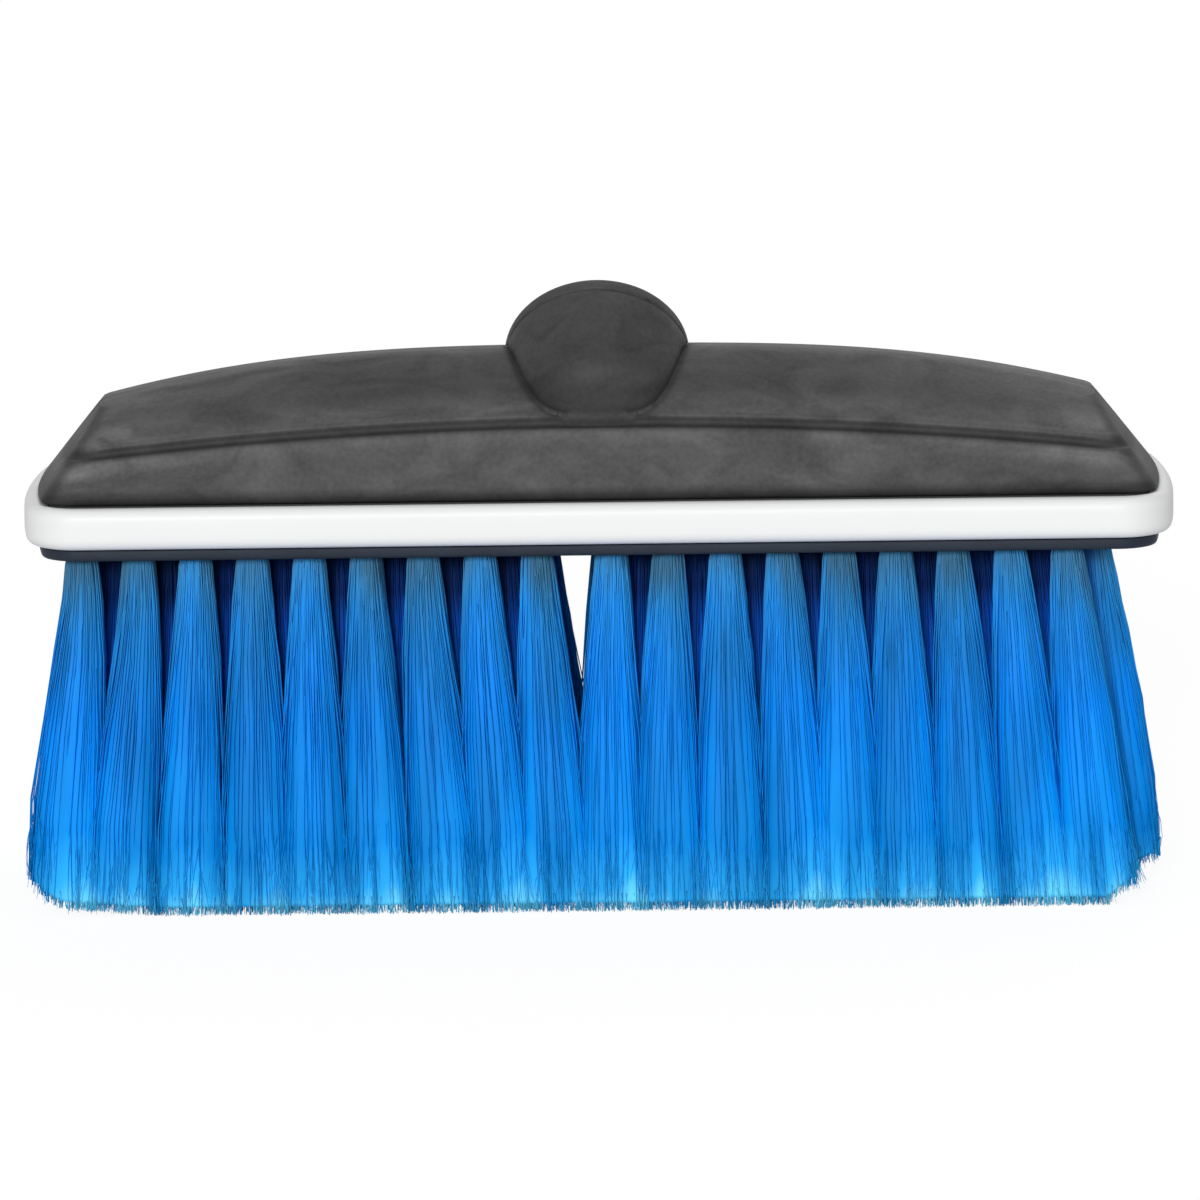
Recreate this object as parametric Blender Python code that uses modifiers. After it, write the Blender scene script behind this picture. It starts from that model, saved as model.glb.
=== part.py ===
"""Flow-through wash brush: a hollow black block with a handle socket, a white bumper
strip and blue bristles in five staggered rows.

The block is two mouldings. The roof-shaped upper cover holds the socket and the screw
posts. The base plate closes it from below, carries the tuft strips in pockets and has
the rinse outlet in the gap between the two halves of the bristle field.

Lengths are metres. X runs along the block, -Y is its front, and the bristle tips
stand on Z = 0.
"""

import math

import bmesh
import bpy

# Clearances and cutting allowance
FIT_GAP = 0.0003
OVERRUN = 0.002
MERGE_DISTANCE = 0.00001

# Stack of the brush, from the bristle tips upwards
BRISTLE_LENGTH = 0.080
LIP_THICKNESS = 0.0025
BAND_HEIGHT = 0.0100
GASKET_THICKNESS = 0.0009

# Plan of the block at the foot of the cover
BLOCK_LENGTH = 0.254
BLOCK_DEPTH = 0.070
CORNER_RADIUS = 0.008
END_BOW = 0.003
SIDE_STEPS = 16
CORNER_STEPS = 4
END_STEPS = 3

# Upper cover
COVER_WALL = 0.005
FOOT_BEVEL = 0.0010
CREASE_INSET = 0.008
CREASE_RISE_MIDDLE = 0.0167
CREASE_RISE_END = 0.0097
GROOVE_DEPTH = 0.0008
GROOVE_WIDTH = 0.0011
RIDGE_HALF_WIDTH = 0.004
RIDGE_RISE_MIDDLE = 0.0300
RIDGE_RISE_END = 0.0197
CHAMBER_RIDGE_HALF_WIDTH = 0.0015
ROOF_CROWN = 0.0014
ROOF_STEPS = 3
END_FACET_RUN = 0.0155
CREASE_ARCH_POWER = 2.0
RIDGE_ARCH_POWER = 3.0

# Handle socket, turned about an axis that leans back
SOCKET_LEAN_DEGREES = 30.0
MOUTH_BACK = 0.006
MOUTH_RISE = 0.0277
COLLAR_WALL = 0.0054
COLLAR_LENGTH = 0.0035
COLLAR_BEVEL = 0.0012
COLLAR_STEP = 0.0005
DOME_START = 0.009
DOME_LENGTH = 0.030
DOME_STEPS = 8
NOSE_INSET = 0.0016
SOCKET_STEPS = 32
BORE_RADIUS = 0.0128
BORE_DEPTH = 0.0245
SOCKET_WALL = 0.0062
SOCKET_FLOOR = 0.0075
SEAT_DEPTH = 0.0006
SEAT_PLAY = 0.0005
PORT_RADIUS = 0.004
PORT_LENGTH = 0.006
DROP_RADIUS = 0.0037
DROP_SETBACK = 0.0015

# Pole insert and its washer
INSERT_WALL = 0.0028
INSERT_FLANGE_OVERLAP = 0.0022
INSERT_FLANGE_THICKNESS = 0.0018
WASHER_THICKNESS = 0.0026
WASHER_BORE_RADIUS = 0.0050

# Bumper strip, gasket and lip
BUMPER_PROUD = 0.0025
BUMPER_THICKNESS = 0.0046
BUMPER_ROUND = 0.0026
BUMPER_STEPS = 4
LIP_INSET = 0.0006
GASKET_WIDTH = 0.0048

# Bristle field
TUFT_PITCH = 0.0127
STAGGER_SHARE = 0.5
CENTRE_GAP = 0.0168
FIELD_SHIFT = -0.00567
END_MARGIN = 0.0095
ROW_MARGIN = 0.0093
TIP_SHIFT = 0.0014
TIP_SPREAD_LENGTH_SHARE = 1.045
TIP_SPREAD_DEPTH_SHARE = 1.27
STRAND_PLACE_SHARES = ((0, 0), (-1, -1), (-1, 1), (1, -1), (1, 1))
ROOT_OFFSET = 0.0019
TIP_OFFSET = 0.0049
STRAND_RADIUS = 0.0012
STRAND_TIP_SHARE = 1.2
TIP_CUT = 0.0005

# Tuft strips, the slices of backing that hold the tufts
STRIP_WIDTH = 0.0084
STRIP_THICKNESS = 0.0058
STRIP_END = 0.0041
STRIP_CORNER = 0.0034
STRIP_CORNER_STEPS = 3

# Screws
SCREW_HEAD_RADIUS = 0.0033
SCREW_HEAD_HEIGHT = 0.0022
SCREW_SHANK_RADIUS = 0.0020
SCREW_POINT = 0.0015
SCREW_SINK = 0.0008
SCREW_REACH = 0.0064
SCREW_STEPS = 16
SLOT_WIDTH = 0.0009
SLOT_LENGTH = 0.0040
SLOT_DEPTH = 0.0010
POST_RADIUS = 0.0045
POST_STEPS = 20

# Water way in the base plate
OUTLET_RADIUS = 0.004
OUTLET_STEPS = 24
PLENUM_DEPTH = 0.003
PLENUM_WIDTH = 0.015

# Levels and outlines that follow from the sizes above
LIP_BOTTOM = BRISTLE_LENGTH
LIP_TOP = LIP_BOTTOM + LIP_THICKNESS
COVER_FOOT = LIP_TOP + BAND_HEIGHT
GASKET_TOP = COVER_FOOT - FIT_GAP
PLATE_TOP = GASKET_TOP - GASKET_THICKNESS - FIT_GAP
HALF_LENGTH = BLOCK_LENGTH / 2
HALF_DEPTH = BLOCK_DEPTH / 2
BUMPER_INSET = BUMPER_THICKNESS - BUMPER_PROUD
PLATE_INSET = BUMPER_INSET + FIT_GAP
END_FACET_LEAN = END_FACET_RUN / RIDGE_RISE_END
SOCKET_LEAN = math.radians(SOCKET_LEAN_DEGREES)
MOUTH_HEIGHT = COVER_FOOT + MOUTH_RISE

# The socket from its bore outwards and inwards
INSERT_RADIUS = BORE_RADIUS - FIT_GAP
INSERT_BORE_RADIUS = INSERT_RADIUS - INSERT_WALL
INSERT_FLANGE_RADIUS = BORE_RADIUS + INSERT_FLANGE_OVERLAP
TROUGH_RADIUS = INSERT_FLANGE_RADIUS + SEAT_PLAY
COLLAR_RADIUS = TROUGH_RADIUS + COLLAR_WALL
CORE_RADIUS = BORE_RADIUS + SOCKET_WALL
CORE_DEPTH = BORE_DEPTH + SOCKET_FLOOR
PORT_DEPTH = BORE_DEPTH + PORT_LENGTH
DROP_DEPTH = PORT_DEPTH - DROP_SETBACK
DROP_Y = MOUTH_BACK - DROP_DEPTH * math.cos(SOCKET_LEAN)
DROP_TOP = MOUTH_HEIGHT - DROP_DEPTH * math.sin(SOCKET_LEAN)
OUTLET_X = FIELD_SHIFT

# The bristle field: rows fill the depth, and tufts the length, within their margins
ROW_NAMES = ("front", "second", "middle", "fourth", "rear")
SIDES = (("left", -1), ("right", 1))
MIDDLE_ROW = ROW_NAMES.index("middle")
ROW_PITCH = (BLOCK_DEPTH - 2 * ROW_MARGIN) / (len(ROW_NAMES) - 1)
TUFT_RUN = HALF_LENGTH - abs(FIELD_SHIFT) - CENTRE_GAP / 2 - END_MARGIN
TUFTS_PER_HALF = 1 + int(TUFT_RUN / TUFT_PITCH)
SCREW_COLUMNS = (0, (TUFTS_PER_HALF - 1) // 2, TUFTS_PER_HALF - 1)

BLACK = (0.055, 0.055, 0.058, 1.0)
WHITE = (0.88, 0.88, 0.87, 1.0)
BLUE = (0.012, 0.165, 0.62, 1.0)
RUBBER_GREY = (0.03, 0.03, 0.032, 1.0)
STEEL = (0.62, 0.62, 0.60, 1.0)
GREY_PLASTIC = (0.16, 0.16, 0.165, 1.0)


def empty_the_scene():
    """Removes every object of the scene that the file opened with."""
    for old in list(bpy.data.objects):
        bpy.data.objects.remove(old, do_unlink=True)


def new_collection(name):
    """Adds a collection to the scene."""
    collection = bpy.data.collections.new(name)
    bpy.context.scene.collection.children.link(collection)
    return collection


def new_material(name, colour, roughness, metallic=0.0):
    """Returns a Principled material."""
    material = bpy.data.materials.new(name)
    material.use_nodes = True
    shader = material.node_tree.nodes["Principled BSDF"]
    shader.inputs["Base Color"].default_value = colour
    shader.inputs["Roughness"].default_value = roughness
    shader.inputs["Metallic"].default_value = metallic
    material.diffuse_color = colour
    return material


empty_the_scene()
PARTS = new_collection("wash_brush")
CUTTERS = new_collection("wash_brush_cutters")
BLACK_PLASTIC = new_material("black_plastic", BLACK, 0.55)
WHITE_VINYL = new_material("white_vinyl", WHITE, 0.45)
BLUE_BRISTLE = new_material("blue_bristle", BLUE, 0.5)
SEAL_RUBBER = new_material("seal_rubber", RUBBER_GREY, 0.8)
SCREW_STEEL = new_material("screw_steel", STEEL, 0.35, 1.0)
INSERT_PLASTIC = new_material("insert_plastic", GREY_PLASTIC, 0.4)


def add_part(name, mesh, material):
    """Adds a mesh as one named piece of the brush."""
    piece = bpy.data.objects.new(name, mesh)
    mesh.materials.append(material)
    PARTS.objects.link(piece)
    return piece


def add_cutter(name, mesh):
    """Adds a mesh as a hidden tool that other pieces are cut or joined with."""
    tool = bpy.data.objects.new(name, mesh)
    tool.hide_render = True
    tool.display_type = "WIRE"
    CUTTERS.objects.link(tool)
    return tool


def combine(target, tool, operation):
    """Puts a Boolean of the given operation on the target."""
    boolean = target.modifiers.new(f"{operation.lower()}_{tool.name}", "BOOLEAN")
    boolean.operation = operation
    boolean.object = tool


def half_outline(half_length, half_depth, corner, bow):
    """Returns the rear half of a rounded rectangle with bowed ends, from -X to +X.

    The ends bulge by bow times one minus the square of the share of the depth.
    """
    straight = half_length - bow - corner
    flat_end = half_depth - corner
    left = []
    for step in range(END_STEPS):
        y = flat_end * step / END_STEPS
        left.append((-(half_length - bow * (y / half_depth) ** 2), y))
    for step in range(CORNER_STEPS):
        angle = math.pi / 2 * step / CORNER_STEPS
        y = flat_end + corner * math.sin(angle)
        bulge = bow * (1 - (y / half_depth) ** 2)
        left.append((-(straight + (corner + bulge) * math.cos(angle)), y))
    middle = [
        (straight * (2 * step / SIDE_STEPS - 1), half_depth) for step in range(SIDE_STEPS)
    ]
    right = [(-x, y) for x, y in reversed(left)]
    return left + middle + [(straight, half_depth)] + right


def outline(half_length, half_depth, corner, bow):
    """Returns the whole outline, counter-clockwise from the middle of the -X end."""
    rear = half_outline(half_length, half_depth, corner, bow)
    front = [(x, -y) for x, y in rear]
    return front + rear[-2:0:-1]


def flat_ring(inset, height):
    """Returns the block's outline, drawn in by inset, at one height."""
    corner = max(CORNER_RADIUS - inset, CORNER_RADIUS / SIDE_STEPS)
    points = outline(HALF_LENGTH - inset, HALF_DEPTH - inset, corner, END_BOW)
    return [(x, y, height) for x, y in points]


def arched_ring(half_length, half_depth, rise_middle, rise_end, power):
    """Returns an outline whose height falls from the middle to the ends by a power of x."""
    share = half_depth / HALF_DEPTH
    ring = []
    for x, y in outline(half_length, half_depth, CORNER_RADIUS * share, END_BOW * share):
        fall = (rise_middle - rise_end) * abs(x / half_length) ** power
        ring.append((x, y, COVER_FOOT + rise_middle - fall))
    return ring


def roof_ring(share, wall=0.0):
    """Returns a ring of the roof, from its lower edge (0) to the ridge (1)."""
    low_depth = HALF_DEPTH - CREASE_INSET - GROOVE_DEPTH - wall
    ridge_depth = max(RIDGE_HALF_WIDTH - wall, CHAMBER_RIDGE_HALF_WIDTH)
    half_depth = low_depth + (ridge_depth - low_depth) * share
    crown = ROOF_CROWN * math.sin(math.pi * share)
    low_rise = CREASE_RISE_MIDDLE + GROOVE_WIDTH
    low_end = CREASE_RISE_END + GROOVE_WIDTH
    rise_middle = low_rise + (RIDGE_RISE_MIDDLE - low_rise) * share + crown - wall
    rise_end = low_end + (RIDGE_RISE_END - low_end) * share + crown - wall
    power = CREASE_ARCH_POWER + (RIDGE_ARCH_POWER - CREASE_ARCH_POWER) * share
    half_length = HALF_LENGTH - END_FACET_LEAN * (rise_end + wall) - wall
    return arched_ring(half_length, half_depth, rise_middle, rise_end, power)


def crease_ring(inset, lift):
    """Returns a ring along the crease, drawn in and lifted from its lower edge."""
    rise_end = CREASE_RISE_END + lift
    return arched_ring(
        HALF_LENGTH - END_FACET_LEAN * rise_end - inset,
        HALF_DEPTH - CREASE_INSET - inset,
        CREASE_RISE_MIDDLE + lift,
        rise_end,
        CREASE_ARCH_POWER,
    )


def loft(name, rings, closed=False, roofed=False):
    """Skins rings of equal length, then caps both ends or joins the last to the first.

    A roofed loft closes its top with strips between the front and the rear run, because
    an arched ring isn't flat.
    """
    mesh = bpy.data.meshes.new(name)
    shape = bmesh.new()
    rows = [[shape.verts.new(point) for point in ring] for ring in rings]
    count = len(rings[0])
    pairs = list(zip(rows, rows[1:]))
    if closed:
        pairs.append((rows[-1], rows[0]))
    for low, high in pairs:
        for i in range(count):
            j = (i + 1) % count
            shape.faces.new((low[i], low[j], high[j], high[i]))
    if not closed:
        shape.faces.new(list(reversed(rows[0])))
        if roofed:
            top = rows[-1]
            for i in range(count // 2):
                face = [top[i], top[i + 1], top[-i - 1], top[-i]]
                if i == 0:
                    face.pop()
                if i + 1 == count // 2:
                    face.remove(top[i + 1])
                shape.faces.new(face)
        else:
            shape.faces.new(rows[-1])
    bmesh.ops.recalc_face_normals(shape, faces=shape.faces)
    shape.to_mesh(mesh)
    shape.free()
    return mesh


def box_mesh(name, low, high):
    """Returns a box between two corners."""
    mesh = bpy.data.meshes.new(name)
    shape = bmesh.new()
    bmesh.ops.create_cube(shape, size=1.0)
    for vert in shape.verts:
        for axis in range(3):
            middle = (low[axis] + high[axis]) / 2
            vert.co[axis] = middle + vert.co[axis] * (high[axis] - low[axis])
    shape.to_mesh(mesh)
    shape.free()
    return mesh


def strip_mesh(name, low, high, corner):
    """Returns a box whose four upright edges are rounded."""
    mesh = box_mesh(name, low, high)
    shape = bmesh.new()
    shape.from_mesh(mesh)
    upright = [e for e in shape.edges if abs(e.verts[0].co.z - e.verts[1].co.z) > corner / 2]
    bmesh.ops.bevel(
        shape, geom=upright, offset=corner, segments=STRIP_CORNER_STEPS, affect="EDGES", profile=0.5
    )
    shape.to_mesh(mesh)
    shape.free()
    return mesh


def cylinder_mesh(name, radius, bottom, top, steps):
    """Returns an upright cylinder about the local Z axis."""
    mesh = bpy.data.meshes.new(name)
    shape = bmesh.new()
    bmesh.ops.create_cone(
        shape, cap_ends=True, segments=steps, radius1=radius, radius2=radius, depth=top - bottom
    )
    bmesh.ops.translate(shape, verts=shape.verts, vec=(0, 0, (top + bottom) / 2))
    shape.to_mesh(mesh)
    shape.free()
    return mesh


def profile_mesh(name, points, closed=False):
    """Returns a profile of (radius, height) points as edges in the local XZ plane."""
    mesh = bpy.data.meshes.new(name)
    edges = [(i, i + 1) for i in range(len(points) - 1)]
    if closed:
        edges.append((len(points) - 1, 0))
    mesh.from_pydata([(radius, 0, height) for radius, height in points], edges, [])
    return mesh


def turn(piece, steps):
    """Turns a piece's profile about its Z axis."""
    screw = piece.modifiers.new("turned", "SCREW")
    screw.steps = steps
    screw.render_steps = steps
    screw.use_merge_vertices = True
    screw.merge_threshold = MERGE_DISTANCE
    screw.use_smooth_shade = True


def on_socket_axis(piece):
    """Seats a turned piece on the socket's axis, with its local zero at the mouth."""
    piece.parent = SOCKET_AXIS


def tuft_columns(row, side):
    """Returns the distances from the field's middle to the tufts of half a row, inner first.

    Every other row is staggered by a share of the pitch. Each half holds what fits before
    the block's end, but no more than the shorter half of a row that isn't staggered.
    """
    staggered = row % 2
    first = CENTRE_GAP / 2 + staggered * STAGGER_SHARE * TUFT_PITCH
    room = HALF_LENGTH - side * FIELD_SHIFT - END_MARGIN - first
    count = min(TUFTS_PER_HALF, 1 + int(room / TUFT_PITCH))
    return [first + i * TUFT_PITCH for i in range(count)]


def row_place(row):
    """Returns the Y of a row of tufts."""
    return (row - MIDDLE_ROW) * ROW_PITCH


def strip_plan():
    """Lists every tuft strip as its name, row, side and tuft distances."""
    plan = []
    for row, row_name in enumerate(ROW_NAMES):
        for side_name, side in SIDES:
            columns = tuft_columns(row, side)
            if row != MIDDLE_ROW:
                plan.append((f"{row_name}_tuft_strip_{side_name}", row, side, columns))
                continue
            inner = columns[SCREW_COLUMNS[0] + 1:SCREW_COLUMNS[1]]
            outer = columns[SCREW_COLUMNS[1] + 1:SCREW_COLUMNS[2]]
            plan.append((f"{row_name}_tuft_strip_{side_name}_inner", row, side, inner))
            plan.append((f"{row_name}_tuft_strip_{side_name}_outer", row, side, outer))
    return plan


def screw_places():
    """Lists the X of the six screws, which stand in the middle row."""
    places = []
    for _, side in SIDES:
        columns = tuft_columns(MIDDLE_ROW, side)
        places += [FIELD_SHIFT + side * columns[i] for i in SCREW_COLUMNS]
    return places


def make_socket_axis():
    """Adds the empty whose Z axis is the socket's, at the middle of its mouth."""
    axis = bpy.data.objects.new("socket_axis", None)
    axis.location = (0, MOUTH_BACK, MOUTH_HEIGHT)
    axis.rotation_euler = (SOCKET_LEAN - math.pi / 2, 0, 0)
    PARTS.objects.link(axis)
    return axis


SOCKET_AXIS = make_socket_axis()


def socket_profile():
    """Returns the outside of the socket: a collar, a short straight body, then a dome.

    The dome is half an ellipsoid: a quarter turn takes its radius from the body's to none.
    """
    body = COLLAR_RADIUS - COLLAR_STEP
    points = [
        (0, 0),
        (COLLAR_RADIUS - COLLAR_BEVEL, 0),
        (COLLAR_RADIUS, -COLLAR_BEVEL),
        (COLLAR_RADIUS, -COLLAR_LENGTH),
        (body, -COLLAR_LENGTH - COLLAR_STEP),
    ]
    for step in range(DOME_STEPS):
        angle = math.pi / 2 * step / DOME_STEPS
        points.append((body * math.cos(angle), -DOME_START - DOME_LENGTH * math.sin(angle)))
    points.append((0, -DOME_START - DOME_LENGTH))
    return points


def make_upper_cover():
    """Makes the roof-shaped moulding with its chamber, posts and socket."""
    outside = [
        flat_ring(FOOT_BEVEL, COVER_FOOT),
        flat_ring(0, COVER_FOOT + FOOT_BEVEL),
        crease_ring(0, 0),
        crease_ring(GROOVE_DEPTH, GROOVE_WIDTH / 2),
    ]
    outside += [roof_ring(step / ROOF_STEPS) for step in range(ROOF_STEPS + 1)]
    cover = add_part("upper_cover", loft("upper_cover", outside, roofed=True), BLACK_PLASTIC)

    dome = add_cutter("socket_outside", profile_mesh("socket_outside", socket_profile()))
    turn(dome, SOCKET_STEPS)
    on_socket_axis(dome)
    nose_y = HALF_DEPTH - CREASE_INSET - NOSE_INSET
    trim_low = (-COLLAR_RADIUS, -BLOCK_DEPTH, COVER_FOOT)
    trim_high = (COLLAR_RADIUS, -nose_y, MOUTH_HEIGHT + COLLAR_RADIUS)
    trim = add_cutter("nose_trim", box_mesh("nose_trim", trim_low, trim_high))
    combine(dome, trim, "DIFFERENCE")
    combine(cover, dome, "UNION")

    inside = [flat_ring(COVER_WALL, COVER_FOOT - OVERRUN)]
    inside += [roof_ring(step / ROOF_STEPS, COVER_WALL) for step in range(ROOF_STEPS + 1)]
    chamber = add_cutter("chamber", loft("chamber", inside, roofed=True))

    core_mesh = cylinder_mesh(
        "socket_core", CORE_RADIUS, -CORE_DEPTH, HALF_DEPTH, SOCKET_STEPS
    )
    core = add_cutter("socket_core", core_mesh)
    on_socket_axis(core)
    combine(chamber, core, "DIFFERENCE")

    post_top = COVER_FOOT + RIDGE_RISE_MIDDLE
    for number, x in enumerate(screw_places(), 1):
        post_mesh = cylinder_mesh(
            f"post_{number}", POST_RADIUS, COVER_FOOT - 2 * OVERRUN, post_top, POST_STEPS
        )
        post = add_cutter(f"post_{number}", post_mesh)
        post.location = (x, 0, 0)
        combine(chamber, post, "DIFFERENCE")
    combine(cover, chamber, "DIFFERENCE")

    bore_points = [
        (0, HALF_DEPTH),
        (TROUGH_RADIUS, HALF_DEPTH),
        (TROUGH_RADIUS, -SEAT_DEPTH),
        (BORE_RADIUS, -SEAT_DEPTH),
        (BORE_RADIUS, -BORE_DEPTH),
        (PORT_RADIUS, -BORE_DEPTH),
        (PORT_RADIUS, -PORT_DEPTH),
        (0, -PORT_DEPTH),
    ]
    bore = add_cutter("socket_bore", profile_mesh("socket_bore", bore_points))
    turn(bore, SOCKET_STEPS)
    on_socket_axis(bore)
    combine(cover, bore, "DIFFERENCE")

    drop_mesh = cylinder_mesh(
        "water_drop", DROP_RADIUS, COVER_FOOT - OVERRUN, DROP_TOP, OUTLET_STEPS
    )
    drop = add_cutter("water_drop", drop_mesh)
    drop.location = (0, DROP_Y, 0)
    combine(cover, drop, "DIFFERENCE")
    return cover


def make_base_plate():
    """Makes the plate with its lip, strip pockets, plenum and rinse outlet."""
    rings = [
        flat_ring(LIP_INSET, LIP_BOTTOM),
        flat_ring(LIP_INSET, LIP_TOP),
        flat_ring(PLATE_INSET, LIP_TOP),
        flat_ring(PLATE_INSET, PLATE_TOP),
    ]
    plate = add_part("base_plate", loft("base_plate", rings), BLACK_PLASTIC)

    for name, row, side, columns in strip_plan():
        low, high = strip_box(row, side, columns, FIT_GAP)
        low = (low[0], low[1], LIP_BOTTOM - OVERRUN)
        pocket_mesh = strip_mesh(f"pocket_{name}", low, high, STRIP_CORNER + FIT_GAP)
        pocket = add_cutter(f"pocket_{name}", pocket_mesh)
        combine(plate, pocket, "DIFFERENCE")

    outlet_mesh = cylinder_mesh(
        "outlet", OUTLET_RADIUS, LIP_BOTTOM - OVERRUN, PLATE_TOP + OVERRUN, OUTLET_STEPS
    )
    outlet = add_cutter("outlet", outlet_mesh)
    outlet.location = (OUTLET_X, 0, 0)
    combine(plate, outlet, "DIFFERENCE")

    plenum_low = (OUTLET_X - PLENUM_WIDTH / 2, DROP_Y - PORT_RADIUS, PLATE_TOP - PLENUM_DEPTH)
    plenum_high = (PORT_RADIUS, OUTLET_RADIUS, PLATE_TOP + OVERRUN)
    plenum = add_cutter("plenum", box_mesh("plenum", plenum_low, plenum_high))
    combine(plate, plenum, "DIFFERENCE")
    return plate


def make_bumper():
    """Makes the soft strip: a band with a rounded outer face, carried round the plate."""
    low = LIP_TOP + FIT_GAP
    high = COVER_FOOT - FIT_GAP
    rings = [flat_ring(BUMPER_INSET, high), flat_ring(BUMPER_INSET, low)]
    for top, corner in ((False, low + BUMPER_ROUND), (True, high - BUMPER_ROUND)):
        for step in range(BUMPER_STEPS + 1):
            angle = math.pi / 2 * step / BUMPER_STEPS
            out = math.cos(angle) if top else math.sin(angle)
            up = math.sin(angle) if top else -math.cos(angle)
            inset = BUMPER_ROUND * (1 - out) - BUMPER_PROUD
            rings.append(flat_ring(inset, corner + BUMPER_ROUND * up))
    mesh = loft("bumper_strip", rings, closed=True)
    return add_part("bumper_strip", mesh, WHITE_VINYL)


def make_gasket():
    """Makes the flat seal that lies on the plate's rim."""
    low = PLATE_TOP + FIT_GAP
    inner = PLATE_INSET + GASKET_WIDTH
    rings = [
        flat_ring(inner, GASKET_TOP),
        flat_ring(inner, low),
        flat_ring(PLATE_INSET, low),
        flat_ring(PLATE_INSET, GASKET_TOP),
    ]
    return add_part("cover_gasket", loft("cover_gasket", rings, closed=True), SEAL_RUBBER)


def make_insert():
    """Makes the pole insert: a sleeve whose flange seats just inside the collar."""
    depth = BORE_DEPTH - WASHER_THICKNESS - 2 * FIT_GAP
    flange_bottom = FIT_GAP - SEAT_DEPTH
    flange_top = flange_bottom + INSERT_FLANGE_THICKNESS
    points = [
        (INSERT_BORE_RADIUS, flange_top),
        (INSERT_FLANGE_RADIUS, flange_top),
        (INSERT_FLANGE_RADIUS, flange_bottom),
        (INSERT_RADIUS, flange_bottom),
        (INSERT_RADIUS, -depth),
        (INSERT_BORE_RADIUS, -depth),
    ]
    mesh = profile_mesh("threaded_insert", points, closed=True)
    insert = add_part("threaded_insert", mesh, INSERT_PLASTIC)
    turn(insert, SOCKET_STEPS)
    on_socket_axis(insert)
    return insert


def make_washer():
    """Makes the washer at the bottom of the bore."""
    low = FIT_GAP - BORE_DEPTH
    points = [
        (WASHER_BORE_RADIUS, low + WASHER_THICKNESS),
        (INSERT_RADIUS, low + WASHER_THICKNESS),
        (INSERT_RADIUS, low),
        (WASHER_BORE_RADIUS, low),
    ]
    washer = add_part("hose_washer", profile_mesh("hose_washer", points, closed=True), SEAL_RUBBER)
    turn(washer, SOCKET_STEPS)
    on_socket_axis(washer)
    return washer


def screw_profile(grow):
    """Returns a screw's outline, point up and head down, grown by a clearance."""
    head_bottom = LIP_BOTTOM + SCREW_SINK
    head_top = head_bottom + SCREW_HEAD_HEIGHT + grow
    tip = COVER_FOOT + SCREW_REACH + grow
    shank = SCREW_SHANK_RADIUS + grow
    if grow:
        head_bottom = LIP_BOTTOM - OVERRUN
    return [
        (0, tip),
        (shank, tip - SCREW_POINT),
        (shank, head_top),
        (SCREW_HEAD_RADIUS + grow, head_top),
        (SCREW_HEAD_RADIUS + grow, head_bottom),
        (0, head_bottom),
    ]


def make_screws(cover, plate):
    """Makes the six screws and cuts their holes in the plate and the posts."""
    low = LIP_BOTTOM + SCREW_SINK - OVERRUN
    high = LIP_BOTTOM + SCREW_SINK + SLOT_DEPTH
    for number, x in enumerate(screw_places(), 1):
        screw = add_part(
            f"cover_screw_{number}", profile_mesh("cover_screw", screw_profile(0)), SCREW_STEEL
        )
        turn(screw, SCREW_STEPS)
        screw.location = (x, 0, 0)
        for name, along, across in (("a", SLOT_LENGTH, SLOT_WIDTH), ("b", SLOT_WIDTH, SLOT_LENGTH)):
            slot_name = f"slot_{number}{name}"
            corner = (x - along / 2, -across / 2, low)
            far_corner = (x + along / 2, across / 2, high)
            slot = add_cutter(slot_name, box_mesh(slot_name, corner, far_corner))
            combine(screw, slot, "DIFFERENCE")
        hole_name = f"screw_hole_{number}"
        hole = add_cutter(hole_name, profile_mesh(hole_name, screw_profile(FIT_GAP)))
        turn(hole, SCREW_STEPS)
        hole.location = (x, 0, 0)
        combine(plate, hole, "DIFFERENCE")
        combine(cover, hole, "DIFFERENCE")


def strip_box(row, side, columns, grow):
    """Returns the corners of a strip's backing, grown by a clearance on all sides."""
    ends = sorted(FIELD_SHIFT + side * column for column in (columns[0], columns[-1]))
    y = row_place(row)
    low = (
        ends[0] - STRIP_END - grow,
        y - STRIP_WIDTH / 2 - grow,
        LIP_BOTTOM + FIT_GAP - grow,
    )
    high = (
        ends[1] + STRIP_END + grow,
        y + STRIP_WIDTH / 2 + grow,
        LIP_BOTTOM + FIT_GAP + STRIP_THICKNESS + grow,
    )
    return low, high


def strand_ends(x, y, along, across):
    """Returns the root and the tip of one strand of the tuft at (x, y).

    The tips are the roots spread evenly about the field's middle, so no strands cross.
    """
    root_height = LIP_BOTTOM + FIT_GAP + STRIP_THICKNESS / 2
    root = (x + along * ROOT_OFFSET, y + across * ROOT_OFFSET, root_height)
    spread_x = (x - FIELD_SHIFT) * TIP_SPREAD_LENGTH_SHARE
    tip = (
        FIELD_SHIFT + TIP_SHIFT + spread_x + along * TIP_OFFSET,
        y * TIP_SPREAD_DEPTH_SHARE + across * TIP_OFFSET,
        -TIP_CUT,
    )
    return root, tip


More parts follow.
